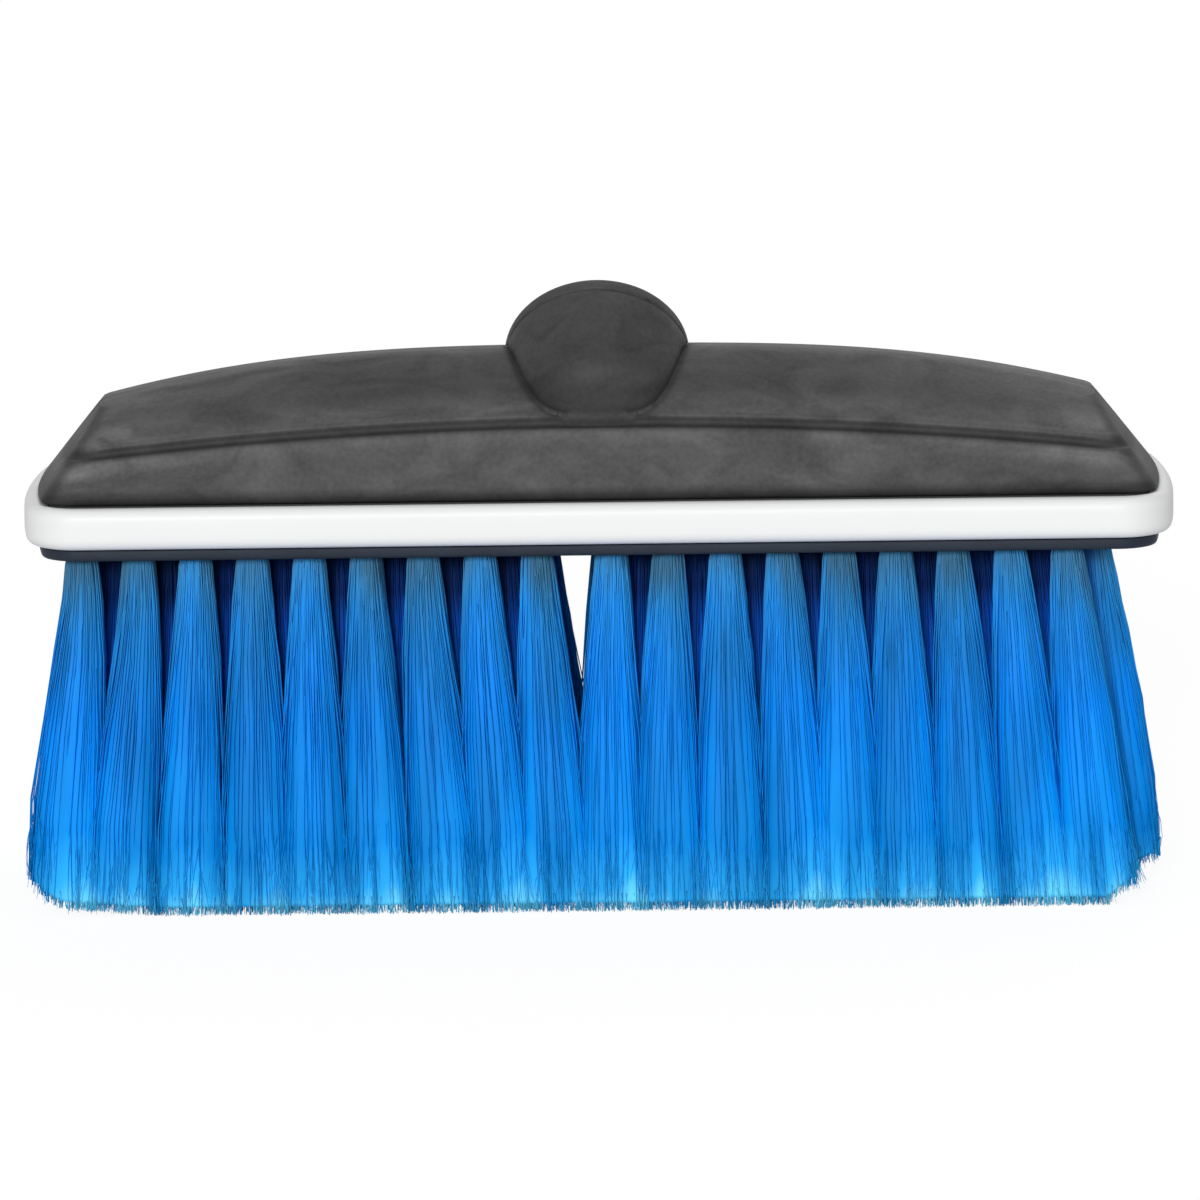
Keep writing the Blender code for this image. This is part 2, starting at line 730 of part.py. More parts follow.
def make_strands(name, row, side, columns):
    """Makes the strands of one strip as a mesh, from a curve with filled caps."""
    curve = bpy.data.curves.new(name, "CURVE")
    curve.dimensions = "3D"
    curve.bevel_depth = STRAND_RADIUS
    curve.bevel_resolution = 0
    curve.use_fill_caps = True
    for column in columns:
        x = FIELD_SHIFT + side * column
        for along, across in STRAND_PLACE_SHARES:
            spline = curve.splines.new("POLY")
            spline.points.add(1)
            ends = strand_ends(x, row_place(row), along, across)
            for point, end, radius in zip(spline.points, ends, (1.0, STRAND_TIP_SHARE)):
                point.co = (*end, 1.0)
                point.radius = radius
    guide = bpy.data.objects.new(name, curve)
    CUTTERS.objects.link(guide)
    bpy.context.view_layer.update()
    evaluated = guide.evaluated_get(bpy.context.evaluated_depsgraph_get())
    mesh = bpy.data.meshes.new_from_object(evaluated)
    bpy.data.objects.remove(guide)
    shape = bmesh.new()
    shape.from_mesh(mesh)
    bmesh.ops.remove_doubles(shape, verts=shape.verts, dist=MERGE_DISTANCE)
    bmesh.ops.recalc_face_normals(shape, faces=shape.faces)
    shape.to_mesh(mesh)
    shape.free()
    return add_cutter(name, mesh)


def make_tuft_strips():
    """Makes every strip: a slice of backing with its strands, trimmed level at the tips."""
    reach = BLOCK_LENGTH
    floor_low = (-reach, -reach, -reach)
    floor = add_cutter("tip_trim", box_mesh("tip_trim", floor_low, (reach, reach, 0)))
    for name, row, side, columns in strip_plan():
        low, high = strip_box(row, side, columns, 0)
        strip = add_part(name, strip_mesh(name, low, high, STRIP_CORNER), BLUE_BRISTLE)
        strands = make_strands(f"strands_{name}", row, side, columns)
        combine(strip, strands, "UNION")
        combine(strip, floor, "DIFFERENCE")


upper_cover = make_upper_cover()
base_plate = make_base_plate()
make_bumper()
make_gasket()
make_insert()
make_washer()
make_screws(upper_cover, base_plate)
make_tuft_strips()
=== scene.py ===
# %% [markdown]
# A wash brush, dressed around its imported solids.
#
# The real brush is a hollow black head, moulded in two halves, with a soft white bumper
# strip trapped between them and tufts of flagged blue bristles below. A pole screws into
# a socket at the back of the roof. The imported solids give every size, so each piece is
# computed in the same frame: X along the block, -Y its front, the bristle tips at Z = 0.

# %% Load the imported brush
import math

import bmesh
import bpy
import numpy as np
from mathutils import Matrix, Vector


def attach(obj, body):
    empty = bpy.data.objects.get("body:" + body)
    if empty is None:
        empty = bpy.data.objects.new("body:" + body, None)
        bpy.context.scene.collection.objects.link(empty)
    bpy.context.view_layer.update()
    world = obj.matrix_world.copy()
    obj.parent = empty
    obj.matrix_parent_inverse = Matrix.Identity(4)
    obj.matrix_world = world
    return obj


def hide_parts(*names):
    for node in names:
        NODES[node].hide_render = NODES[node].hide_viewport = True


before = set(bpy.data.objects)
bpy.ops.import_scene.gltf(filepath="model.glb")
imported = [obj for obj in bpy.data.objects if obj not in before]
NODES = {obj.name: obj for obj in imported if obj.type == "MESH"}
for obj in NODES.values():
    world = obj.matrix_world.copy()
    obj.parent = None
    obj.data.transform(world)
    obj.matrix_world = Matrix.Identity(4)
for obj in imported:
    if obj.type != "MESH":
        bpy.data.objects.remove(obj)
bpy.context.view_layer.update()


# %% [markdown]
# The levels and outlines repeat the values of the solids, in metres. A moulding is drawn
# once, so each is a named value here and every piece below is worked out from them. A
# rise is measured up from the cover's foot, and an inset from the block's outline.

# %% Sizes that the pieces share
LIP_BOTTOM, LIP_TOP, COVER_FOOT, PLATE_TOP = 0.080, 0.0825, 0.0925, 0.0910
HALF_LENGTH, HALF_DEPTH = 0.127, 0.035
CORNER_RADIUS, END_BOW = 0.008, 0.003
CREASE_INSET, CREASE_RISE_MIDDLE, CREASE_RISE_END = 0.008, 0.0167, 0.0097
RIDGE_HALF_WIDTH, RIDGE_RISE_MIDDLE, RIDGE_RISE_END = 0.004, 0.0300, 0.0197
GROOVE_DEPTH, GROOVE_WIDTH, ROOF_CROWN = 0.0008, 0.0011, 0.0014
FACET_LEAN = 0.0155 / RIDGE_RISE_END
COVER_WALL, FIT_GAP = 0.005, 0.0003
FIELD_SHIFT, TUFT_PITCH, ROW_PITCH, CENTRE_GAP = -0.00567, 0.0127, 0.01285, 0.0168

# %% The socket's place and sizes
LEAN = math.radians(30)
MOUTH = np.array([0.0, 0.006, 0.1202])
AXIS = np.array([0.0, math.cos(LEAN), math.sin(LEAN)])
UP = np.array([0.0, -math.sin(LEAN), math.cos(LEAN)])
SOCKET_PLACE = {"centre": MOUTH, "axis": AXIS, "up": UP}
COLLAR_RADIUS, COLLAR_LENGTH, DOME_START, DOME_LENGTH = 0.0209, 0.0035, 0.009, 0.030
DOME_RADIUS = COLLAR_RADIUS - 0.0005
TROUGH_RADIUS, BORE_RADIUS, BORE_DEPTH = 0.0155, 0.0128, 0.0245
NOSE_FRONT = -(HALF_DEPTH - CREASE_INSET - 0.0004)

# %% [markdown]
# Every surface here is a grid of points: rows of rings, or a profile carried round. The
# helpers turn such arrays into a mesh in one step. A modelling operator for each piece
# would do too, but a grid keeps the formula of the shape in sight.

# %% Meshes from arrays
def grid_quads(rows, columns, around=True, along=False):
    """Joins neighbours of a rows x columns grid; around closes each row, along the rows."""
    row_starts = np.arange(rows if along else rows - 1)
    column_starts = np.arange(columns if around else columns - 1)
    low, left = np.meshgrid(row_starts, column_starts, indexing="ij")
    high, right = (low + 1) % rows, (left + 1) % columns
    corners = [(low, left), (low, right), (high, right), (high, left)]
    return np.stack([row * columns + column for row, column in corners], -1).reshape(-1, 4)


def mesh_from(name, points, *faces):
    """Fills a mesh from points and from arrays of faces, each with its own corner count."""
    mesh = bpy.data.meshes.new(name)
    corners = np.concatenate([f.ravel() for f in faces]).astype(np.int32)
    sizes = np.concatenate([np.full(len(f), f.shape[1]) for f in faces])
    starts = np.concatenate([[0], np.cumsum(sizes)[:-1]]).astype(np.int32)
    mesh.vertices.add(len(points))
    mesh.vertices.foreach_set("co", np.asarray(points, np.float32).ravel())
    mesh.loops.add(len(corners))
    mesh.loops.foreach_set("vertex_index", corners)
    mesh.polygons.add(len(sizes))
    mesh.polygons.foreach_set("loop_start", starts)
    mesh.update(calc_edges=True)
    return mesh


def clean(mesh, distance=0.00002):
    """Merges points that coincide, drops faces without area and turns all faces outwards."""
    shape = bmesh.new()
    shape.from_mesh(mesh)
    bmesh.ops.remove_doubles(shape, verts=shape.verts, dist=distance)
    bmesh.ops.dissolve_degenerate(shape, edges=shape.edges, dist=distance / 4)
    bmesh.ops.recalc_face_normals(shape, faces=shape.faces)
    shape.to_mesh(mesh)
    shape.free()
    return mesh


# %% [markdown]
# A finished mesh gives its points back as one array, so that a formula can move all of
# them at once, or give each a value for its material to read.

# %% Points and values of a mesh
def mesh_points(mesh, kind=float):
    """A mesh's points as an array."""
    points = np.zeros(len(mesh.vertices) * 3, kind)
    mesh.vertices.foreach_get("co", points)
    return points.reshape(-1, 3)


def set_points(mesh, points):
    """Puts a mesh's points where an array says."""
    mesh.vertices.foreach_set("co", points.astype(np.float32).ravel())


def set_values(mesh, label, values):
    """Keeps one number a point as an attribute of the mesh."""
    kept = mesh.attributes.new(label, "FLOAT", "POINT")
    kept.data.foreach_set("value", values.astype(np.float32))


# %% Objects of the scene
def new_object(name, data):
    """Adds an object with the given data to the scene."""
    made = bpy.data.objects.new(name, data)
    bpy.context.scene.collection.objects.link(made)
    return made


def add_piece(name, mesh, material, slot, *nodes, sharp=35):
    """Adds a finished mesh to the brush in place of the solids that it stands for."""
    piece = new_object(name, mesh)
    mesh.materials.clear()
    mesh.materials.append(material)
    mesh.shade_smooth()
    if sharp:
        mesh.set_sharp_from_angle(angle=math.radians(sharp))
    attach(piece, "root")
    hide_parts(*nodes)
    mesh.calc_loop_triangles()
    print(f"{name}: {len(mesh.loop_triangles)} triangles")


# %% [markdown]
# Mouldings meet in unions and cuts, as the tool maker would cut the mould. A Boolean
# modifier does each, and is applied at once so that the piece is one closed mesh.

# %% Joining and cutting
def combine(mesh, cuts, added=()):
    """Joins the added meshes to a mesh, then cuts others from it, and returns the result."""
    body, tools = new_object("work", mesh), []
    for operation, tool_mesh in [("UNION", m) for m in added] + [("DIFFERENCE", m) for m in cuts]:
        tools.append(new_object("tool", tool_mesh))
        boolean = body.modifiers.new("cut", "BOOLEAN")
        boolean.operation, boolean.object, boolean.solver = operation, tools[-1], "EXACT"
    bpy.context.view_layer.update()
    combined = body.evaluated_get(bpy.context.evaluated_depsgraph_get())
    made = bpy.data.meshes.new_from_object(combined)
    for work in [body, *tools]:
        bpy.data.objects.remove(work, do_unlink=True)
    return made


# %% [markdown]
# The cutters are plain solids: a box, or a profile turned on a lathe. The lathe also makes
# the socket, its bore and what sits in it, all about the same leaning axis.

# %% Boxes and turned solids
def box_mesh(low, high):
    """A box between two corners."""
    corner = np.array([(x, y, z) for x in (0, 1) for y in (0, 1) for z in (0, 1)])
    faces = np.array([
        (0, 1, 3, 2), (4, 6, 7, 5), (0, 4, 5, 1), (2, 3, 7, 6), (0, 2, 6, 4), (1, 5, 7, 3),
    ])
    return mesh_from("box", np.array(low) + corner * (np.array(high) - np.array(low)), faces)


def turned(profile, steps, centre=(0, 0, 0), axis=(0, 0, 1), up=(0, 1, 0)):
    """Rings of a profile of (radius, height): centre plus radius x spoke plus height x axis."""
    angle = np.linspace(0, 2 * np.pi, steps, endpoint=False)
    axis, up = np.array(axis, float), np.array(up, float)
    side = np.cross(up, axis)
    spoke = np.cos(angle)[:, None] * side + np.sin(angle)[:, None] * up
    profile = np.array(profile, float)
    points = np.array(centre) + profile[:, :1, None] * spoke[None] + profile[:, 1:, None] * axis
    return points.reshape(-1, 3)


def turned_solid(profile, steps, **place):
    """A closed turned body whose profile starts and ends on the axis."""
    points = turned(profile, steps, **place)
    return clean(mesh_from("turned", points, grid_quads(len(profile), steps)))


def turned_ring(name, section, steps, **place):
    """A closed turned ring whose section doesn't touch the axis."""
    points = turned(section, steps, **place)
    return clean(mesh_from(name, points, grid_quads(len(section), steps, along=True)))


def rod(x, y, radius, low, high, steps):
    """An upright cylinder."""
    profile = [(0, low), (radius, low), (radius, high), (0, high)]
    return turned_solid(profile, steps, centre=(x, y, 0))


# %% [markdown]
# Three small formulas shape much of what follows: a bell, a smooth step, and the quarter
# circle that rounds an edge.

# %% Bell, step and round
def bell(value, middle, width):
    """A bell curve round a middle: e to the power of minus the squared share of the width."""
    return np.exp(-((value - middle) / width) ** 2)


def smooth(value, low, high):
    """Rises from 0 at low to 1 at high as three squares less two cubes."""
    share = np.clip((value - low) / (high - low), 0, 1)
    return share * share * (3 - 2 * share)


def quarter_round(radius, steps):
    """Pairs of (inset, rise) down a quarter circle, from full inset to full rise."""
    angles = np.linspace(0, np.pi / 2, steps)
    return [(radius * (1 - math.sin(a)), radius * (1 - math.cos(a))) for a in angles]


# %% [markdown]
# The block's outline is a rounded rectangle whose ends bow out. Its points sit closer
# together near the socket, where the roof must carry a soft fillet.

# %% The block's outline
FINE_REACH, FINE_STEP, WIDE_STEPS = 0.034, 0.0006, 36
END_SHARES = np.arange(8) / 8
CORNER_ANGLES = np.arange(12) / 12 * np.pi / 2
LEAST_CORNER = 0.0005


def side_knots(straight):
    """X of the long side's points: even and close in the middle, wider to the corners."""
    middle = np.linspace(-FINE_REACH, FINE_REACH, 2 * round(FINE_REACH / FINE_STEP) + 1)
    wide = np.linspace(FINE_REACH, straight, WIDE_STEPS + 1)[1:]
    return np.concatenate([-wide[::-1], middle, wide])


def outline(half_length, half_depth, corner, bow):
    """Rounded rectangle; the ends bulge by bow times one minus the squared share of y."""
    flat, straight = half_depth - corner, half_length - bow - corner
    end_y = flat * END_SHARES
    end_x = half_length - bow * (end_y / half_depth) ** 2
    corner_y = flat + corner * np.sin(CORNER_ANGLES)
    bowed = bow * (1 - (corner_y / half_depth) ** 2)
    corner_x = straight + (corner + bowed) * np.cos(CORNER_ANGLES)
    side_x = side_knots(straight)
    side_y = np.full(len(side_x), half_depth)
    x = np.concatenate([-end_x, -corner_x, side_x, corner_x[::-1], end_x[::-1]])
    y = np.concatenate([end_y, corner_y, side_y, corner_y[::-1], end_y[::-1]])
    return np.concatenate([np.stack([x, -y], 1), np.stack([x, y], 1)[-2:0:-1]])


def raised(plan, height):
    """Puts the points of a plan at a height, the same for all or one for each."""
    return np.column_stack([plan, np.broadcast_to(height, len(plan))])


def flat_ring(inset, height):
    """The outline drawn in by inset, at one height."""
    corner = max(CORNER_RADIUS - inset, LEAST_CORNER)
    return raised(outline(HALF_LENGTH - inset, HALF_DEPTH - inset, corner, END_BOW), height)


def foot_ring(inset, rise):
    """The cover's outline near its foot, drawn in by inset, less so at the leaning ends."""
    half_length = HALF_LENGTH - 0.35 * inset - FACET_LEAN * rise
    plan = outline(half_length, HALF_DEPTH - inset, CORNER_RADIUS - inset, END_BOW)
    return raised(plan, COVER_FOOT + rise)


def arched_ring(half_length, half_depth, rise_middle, rise_end, power):
    """An outline whose height falls from the middle to the ends by a power of x."""
    share = half_depth / HALF_DEPTH
    plan = outline(half_length, half_depth, CORNER_RADIUS * share, END_BOW * share)
    fall = (rise_middle - rise_end) * np.abs(plan[:, 0] / half_length) ** power
    return raised(plan, COVER_FOOT + rise_middle - fall)


# %% [markdown]
# The upper cover is a roof: a steep face rises from a rounded foot to a crease, and a
# flatter slope goes on to the ridge. The crease is a shallow moulded groove with soft
# lips. All of it is one stack of rings, drawn from the foot up.

# %% The roof's formula
FOOT_ROUND, RIDGE_SOFT, RIDGE_DROP = 0.0021, 0.0026, 0.42
FACE_ROWS, ROOF_ROWS, RIDGE_ROWS, ROOF_START = 20, 44, 14, 0.062
ROOF_FOOT_DEPTH = HALF_DEPTH - CREASE_INSET - GROOVE_DEPTH
GROOVE_SECTION = 0.001 * np.array([
    (-1.46, -2.80), (-1.30, -2.36), (-1.10, -1.96), (-0.86, -1.62), (-0.56, -1.38),
    (-0.22, -1.28), (0.12, -1.26), (0.46, -1.20), (0.78, -1.04), (1.02, -0.78),
    (1.16, -0.46), (1.22, -0.12), (1.20, 0.22), (1.12, 0.54), (1.02, 0.84),
    (1.00, 1.12), (1.10, 1.38), (1.32, 1.60), (1.66, 1.80),
])


def crease_ring(inset, lift):
    """A ring along the crease, lifted, and drawn in at the sides but not at the end facets."""
    rise_end = CREASE_RISE_END + lift
    return arched_ring(
        HALF_LENGTH - FACET_LEAN * rise_end, HALF_DEPTH - CREASE_INSET - inset,
        CREASE_RISE_MIDDLE + lift, rise_end, 2.0,
    )


def roof_rises(share, crown):
    """The roof's rise in the block's middle and at its ends, crease (0) to ridge (1)."""
    low, low_end = CREASE_RISE_MIDDLE + GROOVE_WIDTH, CREASE_RISE_END + GROOVE_WIDTH
    middle = low + (RIDGE_RISE_MIDDLE - low) * share + crown
    return middle, low_end + (RIDGE_RISE_END - low_end) * share + crown


def roof_ring(share, wall=0.0):
    """A ring of the roof, crowned by half a sine; a wall sets it in for the chamber."""
    low_depth = ROOF_FOOT_DEPTH - wall
    half_depth = low_depth + (max(RIDGE_HALF_WIDTH - wall, 0.0015) - low_depth) * share
    middle, end = roof_rises(share, ROOF_CROWN * math.sin(math.pi * share) - wall)
    half_length = HALF_LENGTH - FACET_LEAN * (end + wall) - wall
    return arched_ring(half_length, half_depth, middle, end, 2.0 + share)


def ridge_drop(y):
    """How far the ridge's rounded edge lies below the sharp one: a parabola near the edge."""
    reach = np.clip(RIDGE_SOFT - np.abs(np.abs(y) - RIDGE_HALF_WIDTH), 0, None)
    return RIDGE_DROP * reach ** 2 / (4 * RIDGE_SOFT)


# %% The roof as a stack of rings
def lofted(rings, top_rows):
    """Skins rings from the bottom up and closes the top between its front and rear run."""
    rings = np.array(rings)
    rows, count = rings.shape[:2]
    top, run = rings[-1], count // 2
    front, rear = top[:run + 1], np.roll(top[::-1], 1, axis=0)[:run + 1]
    mix = np.linspace(0, 1, top_rows + 1)[:, None, None]
    cap = front[None] * (1 - mix) + rear[None] * mix
    points = np.concatenate([rings.reshape(-1, 3), cap.reshape(-1, 3)])
    cap_faces = grid_quads(top_rows + 1, run + 1, around=False) + rows * count
    floor = np.arange(count)[::-1][None]
    return clean(mesh_from("loft", points, grid_quads(rows, count), cap_faces, floor), 0.00003)


cover_rings = [foot_ring(*step) for step in quarter_round(FOOT_ROUND, 7)]
face_bottom, face_top = cover_rings[-1], crease_ring(*GROOVE_SECTION[0])
face_shares = np.arange(1, FACE_ROWS)
cover_rings += [face_bottom + (face_top - face_bottom) * k / FACE_ROWS for k in face_shares]
cover_rings += [crease_ring(inset, lift) for inset, lift in GROOVE_SECTION]
cover_rings += [roof_ring(share) for share in np.linspace(ROOF_START, 1, ROOF_ROWS)]
roof_mesh = lofted(cover_rings, RIDGE_ROWS)
points = mesh_points(roof_mesh, np.float32)
on_roof = points[:, 2] > COVER_FOOT + CREASE_RISE_END + 0.004
points[:, 2] -= np.where(on_roof, ridge_drop(points[:, 1]), 0)
set_points(roof_mesh, points)
print("roof:", len(roof_mesh.polygons), "faces in", len(cover_rings), "rings")

# %% [markdown]
# The socket is turned about an axis that leans back: a collar with a rounded rim, a
# small shoulder, and a long dome whose nose is pressed flat so that the crease passes
# below it. A profile turned on a lathe is the plain way to draw it.

# %% The socket's profile
SOCKET_STEPS, RIM_ROUND, SHOULDER_ROUND, NOSE_SOFT = 144, 0.0011, 0.0006, 0.004
NECK = np.array([
    (-0.0003, -0.0001), (-0.0007, -0.0003), (-0.0008, -0.0006),
    (-0.0006, -0.0009), (-0.0001, -0.0011), (0.0003, -0.0013),
])
NECK_LENGTH, NECK_ROWS, DOME_ROWS = 0.0016, 7, 46


def arc(centre, radius, start, stop, steps):
    """Points of an arc from one angle to another, in degrees, in the (radius, height) plane."""
    a = np.radians(np.linspace(start, stop, steps))
    return np.column_stack([centre[0] + radius * np.cos(a), centre[1] + radius * np.sin(a)])


def bulge(depth):
    """The dome swells a little just behind the collar, as a bell curve of the depth."""
    return 0.0008 * bell(depth, 0.0055, 0.0045)


dome_angle = np.linspace(0, np.pi / 2, DOME_ROWS)
neck_depth = np.linspace(COLLAR_LENGTH + NECK_LENGTH, DOME_START, NECK_ROWS + 1)[:-1]
dome_depth = np.concatenate([neck_depth, DOME_START + DOME_LENGTH * np.sin(dome_angle)])
dome_radius = np.concatenate([np.full(NECK_ROWS, DOME_RADIUS), DOME_RADIUS * np.cos(dome_angle)])
dome = np.column_stack([dome_radius + bulge(dome_depth), -dome_depth])
dome[-1, 0] = 0
rim = arc((COLLAR_RADIUS - RIM_ROUND, -RIM_ROUND), RIM_ROUND, 90, 0, 6)
shoulder_centre = (COLLAR_RADIUS - SHOULDER_ROUND, SHOULDER_ROUND - COLLAR_LENGTH)
shoulder = arc(shoulder_centre, SHOULDER_ROUND, 0, -80, 5)
neck = np.array([DOME_RADIUS, -COLLAR_LENGTH]) + NECK
socket_profile = np.concatenate([[(0, 0)], rim, shoulder, neck, dome])


# %% The socket
def press_nose(points):
    """Limits how far forward the dome goes, with a soft turn into the flat face."""
    depth = NOSE_FRONT - points[:, 1]
    turn = (depth + NOSE_SOFT) ** 2 / (4 * NOSE_SOFT)
    points[:, 1] += np.where(np.abs(depth) < NOSE_SOFT, turn, np.maximum(depth, 0))
    return points


socket_points = press_nose(turned(socket_profile, SOCKET_STEPS, **SOCKET_PLACE))
socket_faces = grid_quads(len(socket_profile), SOCKET_STEPS)
socket_mesh = clean(mesh_from("socket", socket_points, socket_faces))
print("socket:", len(socket_mesh.polygons), "faces")

# %% [markdown]
# Tufts stand in five staggered rows, in two halves that leave a gap for the rinse water.
# Screws take the places of three tufts in each half of the middle row.

# %% Where the tufts and screws stand
ROW_NAMES = ("front", "second", "middle", "fourth", "rear")
MIDDLE_ROW, TUFTS_PER_HALF, SCREW_PLACES = 2, 9, [0, 4, 8]


def field_columns(row, side=-1):
    """Distances of half a row's tufts from the field's middle.

    Every other row is staggered and has one tuft fewer on the left, where the block ends.
    """
    odd = row % 2
    count = TUFTS_PER_HALF - odd * (side < 0)
    return CENTRE_GAP / 2 + odd * TUFT_PITCH / 2 + np.arange(count) * TUFT_PITCH


screw_columns = field_columns(MIDDLE_ROW)[SCREW_PLACES]
screw_x = np.concatenate([FIELD_SHIFT - screw_columns, FIELD_SHIFT + screw_columns])
print("screws (mm):", np.round(1000 * np.sort(screw_x), 1))

# %% [markdown]
# The cover is hollow. The chamber follows the roof at one wall's thickness, and leaves
# the socket's core and six screw posts standing. The bore has a counterbored seat, a
# port at its bottom and a drop for the water. Cutters reach past the faces they open.

# %% The cutters of the cover
OVER, REACH = 0.002, 0.03
CORE_RADIUS, CORE_DEPTH, POST_RADIUS = BORE_RADIUS + 0.0062, BORE_DEPTH + 0.0075, 0.0045
SEAT_DEPTH, PORT_RADIUS, PORT_LENGTH, DROP_RADIUS = 0.0006, 0.004, 0.006, 0.0037
PORT_DEPTH = BORE_DEPTH + PORT_LENGTH
DROP_Y, DROP_TOP = (MOUTH - AXIS * (PORT_DEPTH - 0.0015))[1:]
SHANK_RADIUS, SHANK_REACH, SCREW_POINT = 0.0020, 0.0064, 0.0015
HEAD_RADIUS, HEAD_HEIGHT, HEAD_RECESS = 0.0033, 0.0022, 0.0008


def chamber_mesh():
    """The room inside the cover, less the socket's core and the screw posts."""
    rings = [flat_ring(COVER_WALL, COVER_FOOT - OVER)]
    rings += [roof_ring(share, COVER_WALL) for share in (0, 0.33, 0.67, 1)]
    core_profile = [(0, -CORE_DEPTH), (CORE_RADIUS, -CORE_DEPTH), (CORE_RADIUS, REACH), (0, REACH)]
    core = turned_solid(core_profile, 64, **SOCKET_PLACE)
    posts = [rod(x, 0, POST_RADIUS, COVER_FOOT - 2 * OVER, COVER_FOOT + REACH, 32) for x in screw_x]
    return combine(lofted(rings, 2), [core, *posts])


def screw_hole(x):
    """The clearance for a screw, from below the plate up into its post."""
    tip = COVER_FOOT + SHANK_REACH + FIT_GAP
    head_top = LIP_BOTTOM + HEAD_RECESS + HEAD_HEIGHT + FIT_GAP
    shank, head = SHANK_RADIUS + FIT_GAP, HEAD_RADIUS + FIT_GAP
    profile = [(0, LIP_BOTTOM - OVER), (head, LIP_BOTTOM - OVER), (head, head_top),
               (shank, head_top), (shank, tip - SCREW_POINT), (0, tip)]
    return turned_solid(profile, 24, centre=(x, 0, 0))


# %% The hollow cover
bore_profile = [
    (0, REACH), (TROUGH_RADIUS, REACH), (TROUGH_RADIUS, -SEAT_DEPTH), (BORE_RADIUS, -SEAT_DEPTH),
    (BORE_RADIUS, -BORE_DEPTH), (PORT_RADIUS, -BORE_DEPTH), (PORT_RADIUS, -PORT_DEPTH),
    (0, -PORT_DEPTH),
]
cover_cuts = [chamber_mesh(), turned_solid(bore_profile, 128, **SOCKET_PLACE)]
cover_cuts.append(rod(0, DROP_Y, DROP_RADIUS, COVER_FOOT - OVER, DROP_TOP, 48))
cover_cuts += [screw_hole(x) for x in screw_x]
cover_mesh = combine(roof_mesh, cover_cuts, added=[socket_mesh])
print("cover:", len(cover_mesh.polygons), "faces")

# %% [markdown]
# Where the socket's dome stands on the roof the moulding has a fine witness groove. Both
# bodies are known as formulas, so the lesser of their signed distances is raised near the
# seam, and the points there slide onto that surface. A bevel on a Boolean's seam would
# break up. The faces there are split once first, so that the groove has enough points.

# %% How far a point is from the dome and from the roof
SEAM_WIDTH, SEAM_DEPTH, FACE_SLOPE, TINY = 0.0015, 0.0006, 1.9, 1e-6


def roof_height(x, y):
    """Height of the roof and the face over a point near the middle of the block."""
    depth = np.abs(y)
    share = np.clip((ROOF_FOOT_DEPTH - depth) / (ROOF_FOOT_DEPTH - RIDGE_HALF_WIDTH), 0, 1)
    middle, end = roof_rises(share, ROOF_CROWN * np.sin(np.pi * share))
    half_length = HALF_LENGTH - FACET_LEAN * end
    roof = middle - (middle - end) * np.abs(x / half_length) ** (2 + share) - ridge_drop(y)
    return COVER_FOOT + roof - np.clip(depth - ROOF_FOOT_DEPTH, 0, None) * FACE_SLOPE


def dome_distance(points):
    """Level of the dome's ellipse less one, over its steepness, and the pressed flat."""
    away = points - MOUTH
    depth = -away @ AXIS
    radius = np.linalg.norm(away + depth[:, None] * AXIS, axis=1) - bulge(depth)
    past = np.clip(depth - DOME_START, 0, None)
    level = np.sqrt((radius / DOME_RADIUS) ** 2 + (past / DOME_LENGTH) ** 2)
    steep = np.sqrt((radius / DOME_RADIUS ** 2) ** 2 + (past / DOME_LENGTH ** 2) ** 2)
    to_dome = (level - 1) / np.maximum(steep / np.maximum(level, TINY), TINY)
    flat = NOSE_FRONT - points[:, 1]
    soft = np.clip(NOSE_SOFT - np.abs(to_dome - flat), 0, None) / NOSE_SOFT
    return np.maximum(to_dome, flat) + NOSE_SOFT * soft ** 2 / 4


def distances(points, step=0.0002):
    """Signed distances to the dome and to the roof, whose slopes come from small steps."""
    x, y, z = points.T
    slope_x = (roof_height(x + step, y) - roof_height(x - step, y)) / (2 * step)
    slope_y = (roof_height(x, y + step) - roof_height(x, y - step)) / (2 * step)
    to_roof = (z - roof_height(x, y)) / np.sqrt(1 + slope_x ** 2 + slope_y ** 2)
    return dome_distance(points), to_roof


# %% The grooved surface and its points
def grooved_field(points):
    """The lesser distance, raised by a squared falloff where both are nearly equal."""
    to_dome, to_roof = distances(points)
    near = np.clip(SEAM_WIDTH - np.abs(to_dome - to_roof), 0, None) / SEAM_WIDTH
    return np.minimum(to_dome, to_roof) + SEAM_DEPTH * near ** 2


def gradient(points, step=0.00005):
    """Central differences of the grooved field."""
    steps = np.eye(3) * step
    parts = [grooved_field(points + way) - grooved_field(points - way) for way in steps]
    return np.stack([part / (2 * step) for part in parts], 1)


def near_seam(points, reach, skin=0.0004, half_depth=0.0262):
    """Points on the outer skin that lie within reach of both the dome and the roof."""
    to_dome, to_roof = distances(points)
    on_skin = np.abs(np.minimum(to_dome, to_roof)) < skin
    below_collar = (points - MOUTH) @ AXIS < -COLLAR_LENGTH - 0.0014
    on_slopes = np.abs(points[:, 1]) < half_depth
    return on_skin & (np.abs(to_dome - to_roof) < reach) & below_collar & on_slopes


